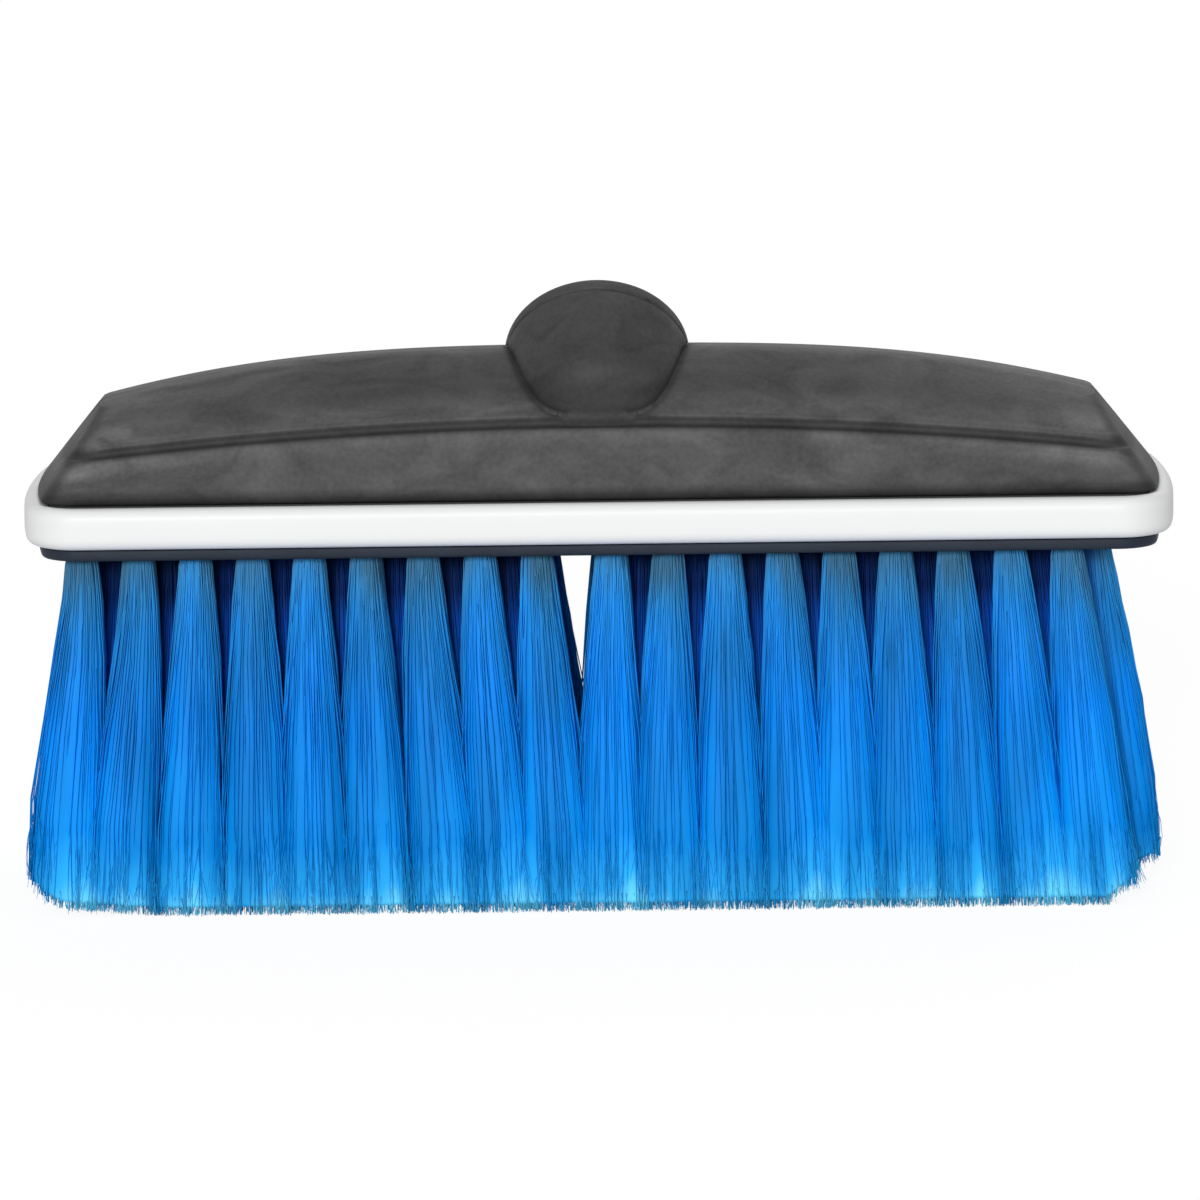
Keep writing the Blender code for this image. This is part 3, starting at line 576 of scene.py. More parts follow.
# %% The groove round the dome
LONG_EDGE, SLIDES, SLIDE_SHARE = 0.00035, 8, 0.8
shape = bmesh.new()
shape.from_mesh(cover_mesh)
close = near_seam(mesh_points(cover_mesh), 2.2 * SEAM_WIDTH)
long_edges = [e for e in shape.edges if e.calc_length() > LONG_EDGE]
seam_edges = [e for e in long_edges if all(close[corner.index] for corner in e.verts)]
bmesh.ops.subdivide_edges(shape, edges=seam_edges, cuts=1, use_grid_fill=True)
bmesh.ops.triangulate(shape, faces=[f for f in shape.faces if len(f.verts) > 4])
shape.to_mesh(cover_mesh)
shape.free()
points = mesh_points(cover_mesh)
outer = near_seam(points, 1.6 * SEAM_WIDTH)
moved = points[outer]
for _ in range(SLIDES):
    slope = gradient(moved)
    slide = grooved_field(moved) / np.maximum((slope ** 2).sum(1), TINY)
    moved = moved - SLIDE_SHARE * slope * slide[:, None]
points[outer] = moved
set_points(cover_mesh, points)
clean(cover_mesh, 0.00004)
print("groove:", int(outer.sum()), "points moved")

# %% [markdown]
# The photograph shows the crease as a dark line between paler lips, the foot as a dark
# edge and the dome darker than the roof. Here these are painted light and shade: painted
# shade in the groove, at the foot and on the dome, and painted highlights on the lips.
# They follow the shape, so they are worked out from it once and kept as an attribute of the points.

# %% Painted light and shade of the cover
CREASE_REACH, CORNER_X = 0.1194, 0.1178
# Bands of painted highlight on the crease's lips and of painted shade in its groove.
CREASE_BANDS = (  # height over the crease, width, strength, and how much more at the ends
    (-0.0032, 0.0015, 0.20, 0.60), (-0.0002, 0.0012, -0.42, 0.0), (0.0, 0.0006, -0.25, 0.0),
    (-0.0011, 0.0005, -0.42, 0.0), (0.0034, 0.0018, 0.10, 0.42),
)


def crease_height(x):
    """Height of the crease's lower edge over a place along the block."""
    fall = (CREASE_RISE_MIDDLE - CREASE_RISE_END) * (x / CREASE_REACH) ** 2
    return COVER_FOOT + CREASE_RISE_MIDDLE - fall


def roof_painted_shade(x, lift):
    """Painted shade makes the roof darker than the face, less so at the ends.

    Left of the socket it is darker still, by the moulding's own uneven tone.
    """
    darker = 0.30 + 0.17 * bell(x, -0.040, 0.024) - 0.24 * smooth(np.abs(x), 0.050, 0.112)
    return -smooth(lift, 0.0030, 0.0075) * darker


def crease_painted_light(x, y, lift):
    """Painted shade in the crease's groove and painted highlights on its lips, front and rear.

    At each corner there is a painted highlight too.
    """
    at_crease = smooth(np.maximum(np.abs(y) - 0.0240, (np.abs(x) - 0.1035) / 2), 0, 0.001)
    end = smooth(np.abs(x), 0.070, 0.112)
    bands = sum((strength + more * end) * bell(lift, middle, width)
                for middle, width, strength, more in CREASE_BANDS)
    corner = bell(np.abs(x), CORNER_X, 0.0045) * bell(lift, -0.0040, 0.0022)
    return at_crease * bands + 0.38 * corner


def edge_tone(x, y, z):
    """The foot and the edges of the end facets lie in the shade of their own rounding."""
    rise = z - COVER_FOOT
    end = HALF_LENGTH - FACET_LEAN * rise - END_BOW * (y / HALF_DEPTH) ** 2
    at_facet = (1 - smooth((end - np.abs(x)) * 0.79, 0.0006, 0.0024)) * (z < MOUTH[2] - 0.009)
    return (1 - 0.68 * (1 - smooth(rise, 0.0012, 0.0038))) * (1 - 0.65 * at_facet)


def dome_painted_shade(points, lift):
    """Painted shade darkens the dome away from its mouth and near the crease, and its seam."""
    to_dome, to_roof = distances(points)
    on_dome = smooth(to_roof - to_dome, 0, 0.0008) * (np.abs(to_dome) < 0.0015)
    along = np.clip(-((points - MOUTH) @ AXIS) / 0.03, 0, 1)
    darker = 0.32 * along ** 1.5 - 0.04 + 0.42 * (1 - smooth(lift, 0.0020, 0.0110))
    seam = bell(np.abs(to_dome) + np.abs(to_roof), 0, 0.0013)
    return (1 - on_dome * darker) * (1 - 0.34 * seam)


# The cover's painted light and shade, one factor a point.
points = mesh_points(cover_mesh)
lift = points[:, 2] - crease_height(points[:, 0])
tone = 1 + roof_painted_shade(points[:, 0], lift) + crease_painted_light(points[:, 0], points[:, 1], lift)
tone *= edge_tone(*points.T) * dome_painted_shade(points, lift)
set_values(cover_mesh, "painted_light_and_shade", tone)
print("tone from", round(float(tone.min()), 2), "to", round(float(tone.max()), 2))

# %% [markdown]
# The base plate closes the head from below. Its lip shows as a thin dark line under the
# bumper; its plastic is a darker, navy copy of the black, as painted shade. Each tuft
# strip sits in a pocket, and the rinse outlet opens in the centre gap.

# %% The strips' backings
STRIP_WIDTH, STRIP_THICKNESS, STRIP_END, STRIP_CORNER = 0.0084, 0.0058, 0.0041, 0.0034


def strip_plan():
    """Lists every tuft strip as its name, row, side and tuft distances."""
    plan = []
    for row, row_name in enumerate(ROW_NAMES):
        for side_name, side in (("left", -1), ("right", 1)):
            name, columns = f"{row_name}_tuft_strip_{side_name}", field_columns(row, side)
            if row == MIDDLE_ROW:
                plan.append((f"{name}_inner", row, side, columns[1:4]))
                plan.append((f"{name}_outer", row, side, columns[5:8]))
            else:
                plan.append((name, row, side, columns))
    return plan


def strip_solid(row, side, columns, grow, bottom):
    """A strip's backing: a bar with rounded upright edges."""
    ends = np.sort(FIELD_SHIFT + side * columns[[0, -1]])
    half = (ends[1] - ends[0]) / 2 + STRIP_END + grow
    corner, wide = STRIP_CORNER + grow, STRIP_WIDTH / 2 + grow
    quarter = np.radians(np.arange(0, 91, 15))
    x = half - corner + corner * np.cos(quarter)
    y = wide - corner + corner * np.sin(quarter)
    signs = ((1, 1, 1), (-1, 1, -1), (-1, -1, 1), (1, -1, -1))
    plan = np.concatenate([np.stack([sx * x, sy * y], 1)[::order] for sx, sy, order in signs])
    plan += [ends.mean(), (row - MIDDLE_ROW) * ROW_PITCH]
    top = LIP_BOTTOM + FIT_GAP + STRIP_THICKNESS + grow
    walls = np.concatenate([raised(plan, bottom), raised(plan, top)])
    rim = np.arange(len(plan))
    caps = np.array([rim[::-1], len(plan) + rim])
    return clean(mesh_from("bar", walls, grid_quads(2, len(plan)), caps), 0.00001)


# %% The base plate
LIP_INSET, LIP_ROUND, LIP_TOP_ROUND, PLATE_INSET = 0.0006, 0.0009, 0.0004, 0.0024
OUTLET_RADIUS, PLENUM_END, PLENUM_DEPTH = 0.004, 0.0075, 0.003
lip = [(LIP_INSET + inset, LIP_BOTTOM + rise) for inset, rise in quarter_round(LIP_ROUND, 5)]
lip += [(LIP_INSET + inset, LIP_TOP - drop) for drop, inset in quarter_round(LIP_TOP_ROUND, 3)]
lip += [(PLATE_INSET, LIP_TOP), (PLATE_INSET, PLATE_TOP)]
plate_rings = [flat_ring(*place) for place in lip]
plate_cuts = [strip_solid(*plan[1:], FIT_GAP, LIP_BOTTOM - OVER) for plan in strip_plan()]
plate_cuts += [screw_hole(x) for x in screw_x]
plate_cuts.append(rod(FIELD_SHIFT, 0, OUTLET_RADIUS, LIP_BOTTOM - OVER, PLATE_TOP + OVER, 48))
plate_cuts.append(box_mesh(
    (FIELD_SHIFT - PLENUM_END, DROP_Y - PORT_RADIUS, PLATE_TOP - PLENUM_DEPTH),
    (PORT_RADIUS, OUTLET_RADIUS, PLATE_TOP + OVER),
))
plate_mesh = combine(lofted(plate_rings, 2), plate_cuts)
print("plate:", len(plate_mesh.polygons), "faces")

# %% [markdown]
# The bumper is soft vinyl with a rounded outer face, trapped between cover and lip. It is
# one closed section carried round the outline.

# %% The bumper
BUMPER_PROUD, BUMPER_INSET, BUMPER_ROUND, INNER_ROUND = 0.0025, 0.0021, 0.0026, 0.0006
low, high = LIP_TOP + FIT_GAP, COVER_FOOT - FIT_GAP
straight = high - low - 2 * BUMPER_ROUND
section = [(BUMPER_INSET, high - INNER_ROUND), (BUMPER_INSET, low + INNER_ROUND)]
section += [(inset - BUMPER_PROUD, low + rise) for inset, rise in quarter_round(BUMPER_ROUND, 9)]
section += [(-BUMPER_PROUD, low + BUMPER_ROUND + straight * share) for share in (0.33, 0.67)]
section += [(inset - BUMPER_PROUD, high - drop) for drop, inset in quarter_round(BUMPER_ROUND, 9)]
bumper_rings = np.array([flat_ring(*place) for place in section])
bumper_faces = grid_quads(*bumper_rings.shape[:2], along=True)
bumper_mesh = clean(mesh_from("bumper", bumper_rings.reshape(-1, 3), bumper_faces))
print("bumper:", len(bumper_mesh.polygons), "faces")

# %% [markdown]
# The pole insert is a sleeve with a coarse rolled thread. Its bore is a grid of angle and
# depth whose radius follows the thread: the height minus the turn gives the phase. A
# rubber washer lies under it at the bottom of the bore.

# %% The insert
THREAD_PITCH, THREAD_DEPTH, THREAD_RUNOUT, INSERT_BORE = 0.0051, 0.0011, 0.0012, 0.0097
INSERT_RADIUS, FLANGE_RADIUS, FLANGE_EDGE = BORE_RADIUS - FIT_GAP, BORE_RADIUS + 0.0022, 0.0004
WASHER_HEIGHT, WASHER_EDGE, WASHER_BORE = 0.0026, 0.0005, 0.0050
INSERT_BOTTOM = -(BORE_DEPTH - WASHER_HEIGHT - 2 * FIT_GAP)
FLANGE_BOTTOM = FIT_GAP - SEAT_DEPTH
FLANGE_TOP = FLANGE_BOTTOM + 0.0018
INSERT_STEPS, THREAD_ROWS = 96, 110


def threaded_sleeve():
    """A ring profile; on the bore the radius is the crest plus a rounded thread groove."""
    outer = np.array([
        (INSERT_BORE + 0.0014, FLANGE_TOP), (FLANGE_RADIUS - FLANGE_EDGE, FLANGE_TOP),
        (FLANGE_RADIUS, FLANGE_TOP - FLANGE_EDGE), (FLANGE_RADIUS, FLANGE_BOTTOM),
        (INSERT_RADIUS, FLANGE_BOTTOM), (INSERT_RADIUS, INSERT_BOTTOM),
        (INSERT_BORE + 0.0012, INSERT_BOTTOM),
    ])
    height = np.linspace(INSERT_BOTTOM, FLANGE_TOP, THREAD_ROWS)
    profile = np.concatenate([outer, np.column_stack([np.full(THREAD_ROWS, INSERT_BORE), height])])
    points = turned(profile, INSERT_STEPS).reshape(-1, INSERT_STEPS, 3)
    angle = np.linspace(0, 2 * np.pi, INSERT_STEPS, endpoint=False)
    phase = 2 * np.pi * height[:, None] / THREAD_PITCH - angle[None]
    wave = np.clip(0.5 + 0.85 * np.cos(phase), 0, 1)
    from_ends = [(height - INSERT_BOTTOM) / THREAD_RUNOUT, (FLANGE_TOP - height) / THREAD_RUNOUT]
    ends = np.prod(np.clip(from_ends, 0, 1), axis=0)
    depth = THREAD_DEPTH * (wave * ends[:, None] + (1 - ends[:, None]) * 1.2)
    points[len(outer):, :, :2] *= (1 + depth / INSERT_BORE)[..., None]
    local = points.reshape(-1, 3)
    placed = MOUTH + local[:, :1] * np.cross(UP, AXIS) + local[:, 1:2] * UP + local[:, 2:] * AXIS
    return clean(mesh_from("insert", placed, grid_quads(len(profile), INSERT_STEPS, along=True)))


def washer_ring():
    """A flat ring of rubber with its four edges cut off at a slant."""
    inner, outer, edge = WASHER_BORE, INSERT_RADIUS, WASHER_EDGE
    low = FIT_GAP - BORE_DEPTH
    high = low + WASHER_HEIGHT
    section = [
        (inner, low + edge), (inner, high - edge), (inner + edge, high), (outer - edge, high),
        (outer, high - edge), (outer, low + edge), (outer - edge, low), (inner + edge, low),
    ]
    return turned_ring("washer", section, 72, **SOCKET_PLACE)


insert_mesh, washer_mesh = threaded_sleeve(), washer_ring()
print("insert and washer:", len(insert_mesh.polygons), "and", len(washer_mesh.polygons), "faces")

# %% [markdown]
# A tuft is a bundle of crimped filaments that flares as it hangs, and the last quarter of
# each filament is split into fine hairs. That is too many strands to model one by one,
# so all filaments of a strip are one array: strand x knot x side.

# %% Sizes of the tufts
FILAMENTS, FILAMENT_RADIUS, HAIRS, HAIR_RADIUS, HAIR_KNOTS = 118, 0.00022, 4, 0.00011, 4
KNOT_SHARES = np.array([0, 0.05, 0.15, 0.31, 0.52, 0.76, 1.0])
FILAMENT_ROOT, CORE_ROOT = LIP_BOTTOM + 0.0016, LIP_BOTTOM + 0.0014
TUFT_ROOT_RADIUS, TUFT_TIP_RADIUS = 0.0034, 0.0081
CORE_SIDES, CORE_FILL, STUBS, STUB_LENGTH = 24, 0.935, 110, 0.004
STUB_RADII = np.array([0.00022, 0.00010])
CORE_SHARES = np.append(0.965 * KNOT_SHARES, 0.975)
CORE_FILLS = np.append(np.full(len(KNOT_SHARES), CORE_FILL), 0.96 * CORE_FILL)
WAIST_DEPTH, WAIST_SHARE, FIELD_HALF_LENGTH = 0.0005, 0.03, 0.110
LEAN_ALL, LEAN_END, SPREAD_Y, WANDER = 0.0020, 0.0055, 1.27, 0.0010
LEAN_BACK, LEAN_BACK_AT, LEAN_BACK_WIDTH = 0.0035, -0.094, 0.020
GAP_LEAN, GAP_REACH = 0.0026, 0.040
LIMIT_LEFT, LIMIT_RIGHT, LIMIT_DEPTH, LIMIT_SOFT = -0.1305, 0.1270, 0.0402, 0.004
SHADE_LEFT, SHADE_RIGHT, SHADE_REACH = -0.121, 0.1125, 0.008
CORNER_LIFTS = (  # side, height, start, reach and power of each rise of the outermost tips
    (1, 0.0078, 0.113, 0.0135, 0.7), (-1, 0.0095, 0.119, 0.011, 2), (-1, 0.0016, 0.098, 0.02, 1),
)
GOLDEN_ANGLE, FULL_TURN = 2.39996, 6.28
CRIMP, CRIMP_WAVES, DRIFT, DRIFT_MOST, TIP_SCATTER = 0.00035, 17, 0.0007, 0.0014, 0.0004
SPLAY, SPLAY_MOST, HAIR_BOW, LEAST_HEIGHT = 0.0011, 0.0022, 0.0004, 0.0002
STRAY, STRAY_MOST, STUB_DRIFT, STUB_DRIFT_MOST, STUB_SCATTER = 0.06, 0.12, 0.0004, 0.0008, 0.0003


# %% Tubes, and the limits of the field
def tubes(paths, radii):
    """Three-sided tubes, closed at both ends, along paths of shape strand x knot x 3."""
    strands, knots = paths.shape[:2]
    way = np.gradient(paths, axis=1)
    way /= np.linalg.norm(way, axis=2, keepdims=True)
    side = np.cross(way, [0.0, 1.0, 0.0])
    side /= np.linalg.norm(side, axis=2, keepdims=True)
    across = np.cross(way, side)
    turn = np.arange(3) * 2 * np.pi / 3
    ring = np.cos(turn)[:, None] * side[:, :, None] + np.sin(turn)[:, None] * across[:, :, None]
    points = paths[:, :, None] + radii[:, None, None] * ring
    first = np.arange(strands)[:, None, None] * knots * 3
    quads = grid_quads(knots, 3)[None] + first
    caps = np.array([[2, 1, 0], [3 * knots - 3, 3 * knots - 2, 3 * knots - 1]])[None] + first
    return points.reshape(-1, 3), quads.reshape(-1, 4), caps.reshape(-1, 3)


def held_in(plan):
    """Keeps filaments inside the field: past a soft edge they close up exponentially."""
    held = plan.copy()
    edges = ((0, LIMIT_RIGHT, 1), (0, -LIMIT_LEFT, -1), (1, LIMIT_DEPTH, 1), (1, LIMIT_DEPTH, -1))
    for place, limit, sign in edges:
        past = np.clip(sign * held[..., place] - (limit - LIMIT_SOFT), 0, None)
        held[..., place] -= sign * (past - LIMIT_SOFT * (1 - np.exp(-past / LIMIT_SOFT)))
    return held


def corner_lift(x):
    """How much higher the outermost tips end: a slant on the right, a round on the left."""
    return sum(height * np.clip((side * x - start) / reach, 0, 1) ** power
               for side, height, start, reach, power in CORNER_LIFTS)


# %% The course of a tuft
def spokes(angle, share):
    """Directions round a tuft, strand x knot: a circle at its root and squarer below.

    The cosine and sine are divided by the n-th root of the sum of their n-th powers, where
    n grows from 2 to 6, so that neighbours close to one even front by their lower half.
    """
    ways = np.stack([np.cos(angle), np.sin(angle)], 1)[:, None]
    power = 2 + 4 * smooth(share, 0.15, 0.7)
    return ways / ((np.abs(ways) ** power[:, None]).sum(2) ** (1 / power))[..., None]


def tuft_course(x, y, share):
    """Middle and radius of a tuft at shares of its length.

    The lean grows with the fifth power of the place, so that only the end tufts splay, and
    the halves lean together at the gap. The radius opens steadily and slows at the tips.
    """
    on_left = x < FIELD_SHIFT
    end = (x - FIELD_SHIFT) / FIELD_HALF_LENGTH
    along = LEAN_ALL + LEAN_END * end ** 5 - LEAN_BACK * bell(x, LEAN_BACK_AT, LEAN_BACK_WIDTH)
    lean = np.array([along, y * (SPREAD_Y - 1)])
    lean += WANDER * np.array([math.sin(631 * x + 205 * y), math.sin(487 * x - 311 * y)])
    bend = smooth(share, 0.06, 1) if on_left else share ** 1.05
    middle = np.array([x, y]) + lean * bend[:, None]
    opening = 1 - (1 - share) ** 1.4
    near_gap = np.clip(1 - (abs(x - FIELD_SHIFT) - CENTRE_GAP / 2) / GAP_REACH, 0, 1)
    middle[:, 0] += near_gap * (GAP_LEAN if on_left else -GAP_LEAN) * opening
    waist = TUFT_ROOT_RADIUS - WAIST_DEPTH * np.exp(-share / WAIST_SHARE)
    return middle, waist + (TUFT_TIP_RADIUS - TUFT_ROOT_RADIUS) * opening


# %% The filaments of a tuft
def tuft_paths(x, y, random):
    """Centrelines of one tuft, most of them in its outer layer, where they are seen.

    Each keeps its place on the tuft's disc, and a third of them turn inwards at the tips
    to fill the end of the bundle. A sine gives each filament its crimp.
    """
    middle, radius = tuft_course(x, y, KNOT_SHARES)
    number, share = np.arange(FILAMENTS), KNOT_SHARES[None, :, None]
    spoke = spokes(number * GOLDEN_ANGLE + random.uniform(0, FULL_TURN), KNOT_SHARES)
    layer = random.uniform(0.93, 1.015, (FILAMENTS, 1, 1))
    inward = np.where(number % 3 == 0, np.sqrt(random.uniform(0, 1, FILAMENTS)), 1)[:, None, None]
    blend = share ** 6
    plan = middle + radius[:, None] * spoke * layer * (1 - blend + blend * inward)
    drift = np.clip(random.normal(0, DRIFT, (FILAMENTS, 1, 2)), -DRIFT_MOST, DRIFT_MOST)
    phase = random.uniform(0, FULL_TURN, (FILAMENTS, 1, 2))
    crimp = np.sin(share * CRIMP_WAVES + phase) * CRIMP * np.sqrt(share)
    plan = held_in(plan + crimp + drift * share)
    tip = np.abs(random.normal(0, TIP_SCATTER, FILAMENTS)) + corner_lift(plan[:, -1, 0])
    height = FILAMENT_ROOT + (tip[:, None] - FILAMENT_ROOT) * KNOT_SHARES
    return np.concatenate([plan, height[..., None]], 2)


def flagged_hairs(paths, random):
    """Fine hairs that leave the last quarter of each filament and spread towards the tips."""
    strands = len(paths)
    start, end = paths[:, -2], paths[:, -1]
    along = random.uniform(0.0, 0.7, (strands, HAIRS))[..., None]
    root = start[:, None] + (end - start)[:, None] * along
    splay = np.clip(random.normal(0, SPLAY, (strands, HAIRS, 3)), -SPLAY_MOST, SPLAY_MOST)
    tip = held_in(end[:, None] + splay * [1, 1, 0.3])
    tip[..., 2] = np.maximum(tip[..., 2], LEAST_HEIGHT)
    share = np.linspace(0, 1, HAIR_KNOTS)[None, None, :, None]
    path = root[:, :, None] + (tip - root)[:, :, None] * share
    bow = random.normal(0, HAIR_BOW, (strands, HAIRS, 1, 3)) * [1, 1, 0]
    return (path + np.sin(share * np.pi) * bow).reshape(-1, HAIR_KNOTS, 3)


def tip_stubs(x, y, random):
    """Short ends that fill the tuft's tip: a sunflower spiral of spikes below the core."""
    tips = np.array([1.0])
    middle, radius = tuft_course(x, y, tips)
    count = np.arange(STUBS) + 0.5
    angle = count * GOLDEN_ANGLE + random.uniform(0, FULL_TURN)
    disc = spokes(angle, tips)[:, 0] * np.sqrt(count / STUBS)[:, None]
    stray = np.clip(random.normal(0, STRAY, disc.shape), -STRAY_MOST, STRAY_MOST)
    tip = held_in(middle + radius * (disc + stray))
    drift = np.clip(random.normal(0, STUB_DRIFT, tip.shape), -STUB_DRIFT_MOST, STUB_DRIFT_MOST)
    root = tip + drift
    low = corner_lift(tip[:, 0]) + np.abs(random.normal(0, STUB_SCATTER, STUBS))
    return np.stack([np.column_stack([root, low + STUB_LENGTH]), np.column_stack([tip, low])], 1)


# %% [markdown]
# Between its filaments each tuft has a packed core, as the real bundle has, so that no
# light falls through. Filaments, hairs, stubs, cores and the strip's backing are joined as
# one mesh, and three values a point tell the material its strand's tint, its share of the
# tuft and the painted shade it gets deep in the gaps.

# %% A whole strip
def tuft_core(x, y):
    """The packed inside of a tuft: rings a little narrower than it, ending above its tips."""
    middle, radius = tuft_course(x, y, CORE_SHARES)
    angle = np.linspace(0, 2 * np.pi, CORE_SIDES, endpoint=False)
    ways = spokes(angle, CORE_SHARES).swapaxes(0, 1)
    plan = held_in(middle[:, None] + (CORE_FILLS * radius)[:, None, None] * ways)
    tip = corner_lift(plan[-1:, :, 0])
    height = CORE_ROOT + (tip - CORE_ROOT) * CORE_SHARES[:, None]
    return np.concatenate([plan, height[..., None]], 2)


def packed_cores(places):
    """The cores of a strip as points, sides and end caps."""
    cores = np.array([tuft_core(*place) for place in places])
    knots, rim = len(CORE_SHARES), np.arange(CORE_SIDES)
    first = np.arange(len(places))[:, None, None] * knots * CORE_SIDES
    sides = grid_quads(knots, CORE_SIDES)[None, :, ::-1] + first
    caps = np.array([rim, rim[::-1] + (knots - 1) * CORE_SIDES])[None] + first
    return cores.reshape(-1, 3), sides.reshape(-1, 4), caps.reshape(-1, CORE_SIDES)


def backing_part(row, side, columns):
    """A strip's backing as points and triangles."""
    bar = strip_solid(row, side, columns, 0, LIP_BOTTOM + FIT_GAP)
    bar.calc_loop_triangles()
    corners = np.zeros(len(bar.loop_triangles) * 3, np.int32)
    bar.loop_triangles.foreach_get("vertices", corners)
    return mesh_points(bar), corners.reshape(-1, 3)


def joined(name, parts):
    """One mesh of parts given as points and faces; its triangles come last."""
    starts = np.cumsum([0] + [len(part[0]) for part in parts])
    groups = {}
    for start, part in zip(starts, parts):
        for faces in part[1:]:
            groups.setdefault(faces.shape[1], []).append(faces + start)
    faces = [np.concatenate(groups[corners]) for corners in sorted(groups, key=lambda c: c == 3)]
    points = np.concatenate([part[0] for part in parts])
    return mesh_from(name, points, *faces), points


def tuft_strip(name, row, side, columns):
    """A strip in one mesh, with its attributes, and the number of its backing's triangles."""
    random = np.random.default_rng(1000 * row + 10 * len(columns) + int(side))
    places = [(FIELD_SHIFT + side * c, (row - MIDDLE_ROW) * ROW_PITCH) for c in columns]
    filaments = np.concatenate([tuft_paths(*place, random) for place in places])
    hairs = flagged_hairs(filaments, random)
    stubs = np.concatenate([tip_stubs(*place, random) for place in places])
    cores, backing = packed_cores(places), backing_part(row, side, columns)
    mesh, points = joined(name, [
        tubes(filaments, FILAMENT_RADIUS * np.linspace(1.0, 0.62, len(KNOT_SHARES))),
        tubes(hairs, HAIR_RADIUS * np.linspace(1, 0.5, HAIR_KNOTS)),
        tubes(stubs, STUB_RADII), cores, backing,
    ])
    strands = (filaments, hairs, stubs)
    tints = [np.repeat(random.uniform(0, 1, len(p)), p.shape[1] * 3) for p in strands]
    tints += [np.full(len(cores[0]), 0.5), np.zeros(len(backing[0]))]
    tip_share = np.clip(1 - points[:, 2] / LIP_BOTTOM, 0, 1)
    x = points[:, 0]
    # Painted shade deep in the gaps of the inner rows, away from the field's ends, fading towards
    # the tips.
    from_end = np.where(x > 0, SHADE_RIGHT - x, x - SHADE_LEFT)
    shade = np.clip(from_end / SHADE_REACH, 0, 1) * (1 - smooth(tip_share, 0.10, 0.62))
    set_values(mesh, "strand_tint", np.concatenate(tints))
    set_values(mesh, "tip_share", tip_share)
    set_values(mesh, "painted_gap_shade", shade * (0 < row < len(ROW_NAMES) - 1))
    return mesh, len(backing[1])


# %% [markdown]
# Materials are built from nodes. A few helpers keep that short: an input gets either a
# plain value or a link from another node's output.

# %% Node helpers
def feed(tree, value, target):
    """Links an output to an input, or sets the input's own value."""
    if isinstance(value, bpy.types.NodeSocket):
        tree.links.new(value, target)
    else:
        target.default_value = value


def add_node(tree, kind, **inputs):
    """Adds a shader node and feeds its named inputs."""
    node = tree.nodes.new("ShaderNode" + kind)
    for label, value in inputs.items():
        feed(tree, value, node.inputs[label.replace("_", " ")])
    return node


def operation(tree, kind, name, *values):
    """The output of a Math or VectorMath node whose first inputs are fed in order."""
    node = add_node(tree, kind)
    node.operation = name
    for value, target in zip(values, node.inputs):
        feed(tree, value, target)
    return node.outputs[0]


def scaled(tree, colour, factor):
    """A colour multiplied by a number."""
    node = add_node(tree, "VectorMath")
    node.operation = "SCALE"
    feed(tree, colour, node.inputs[0])
    feed(tree, factor, node.inputs["Scale"])
    return node.outputs[0]


def noise(tree, vector, scale, detail, distortion=0.0):
    """A noise texture on the given coordinates."""
    values = {"Vector": vector, "Scale": scale, "Detail": detail, "Distortion": distortion}
    return add_node(tree, "TexNoise", **values).outputs["Fac"]


def ranged(tree, value, low, high, to_low, to_high):
    """Maps a value from one range to another, clamped."""
    values = {"From_Min": low, "From_Max": high, "To_Min": to_low, "To_Max": to_high}
    return add_node(tree, "MapRange", Value=value, **values).outputs[0]


def stored(tree, label):
    """A value that the points carry as an attribute."""
    node = add_node(tree, "Attribute")
    node.attribute_name = label
    return node.outputs["Fac"]


def colour_ramp(tree, stops, factor):
    """A colour ramp through a list of (position, colour)."""
    ramp = add_node(tree, "ValToRGB", Fac=factor)
    elements = ramp.color_ramp.elements
    elements.remove(elements[1])
    for number, (position, colour) in enumerate(stops):
        stop = elements[0] if number == 0 else elements.new(position)
        stop.position, stop.color = position, (*colour, 1.0)
    return ramp.outputs["Color"]


# %% [markdown]
# An effect that more than one finish uses is a node group, built once. The mottle is the
# swirl of a structural-foam moulding: slow clouds warped by noise, plus a fine grain.

# %% The mottle of a moulding
def make_mottle_group():
    """Object coordinates in; a cloudy shade around one and a fine grain height out."""
    tree = bpy.data.node_groups.new("moulding_mottle", "ShaderNodeTree")
    tree.interface.new_socket("Vector", in_out="INPUT", socket_type="NodeSocketVector")
    for label in ("Cloud Scale", "Strength"):
        tree.interface.new_socket(label, in_out="INPUT", socket_type="NodeSocketFloat")
    for label in ("Shade", "Grain"):
        tree.interface.new_socket(label, in_out="OUTPUT", socket_type="NodeSocketFloat")
    start, end = tree.nodes.new("NodeGroupInput"), tree.nodes.new("NodeGroupOutput")
    place = start.outputs["Vector"]
    drawn_out = add_node(tree, "Mapping", Vector=place, Scale=(0.55, 1.0, 1.0)).outputs[0]
    cloud = noise(tree, drawn_out, start.outputs["Cloud Scale"], 4.0, 1.6)
    speck, fine = noise(tree, place, 900.0, 2.0), noise(tree, place, 2600.0, 2.0)
    centred = [operation(tree, "Math", "SUBTRACT", value, 0.5) for value in (cloud, speck)]
    total = operation(tree, "Math", "MULTIPLY_ADD", centred[1], 0.35, centred[0])
    shade = operation(tree, "Math", "MULTIPLY_ADD", total, start.outputs["Strength"], 1.0)
    coarse = operation(tree, "Math", "MULTIPLY", speck, 0.6)
    feed(tree, shade, end.inputs["Shade"])
    feed(tree, operation(tree, "Math", "MULTIPLY_ADD", fine, 0.4, coarse), end.inputs["Grain"])
    return tree


MOTTLE = make_mottle_group()


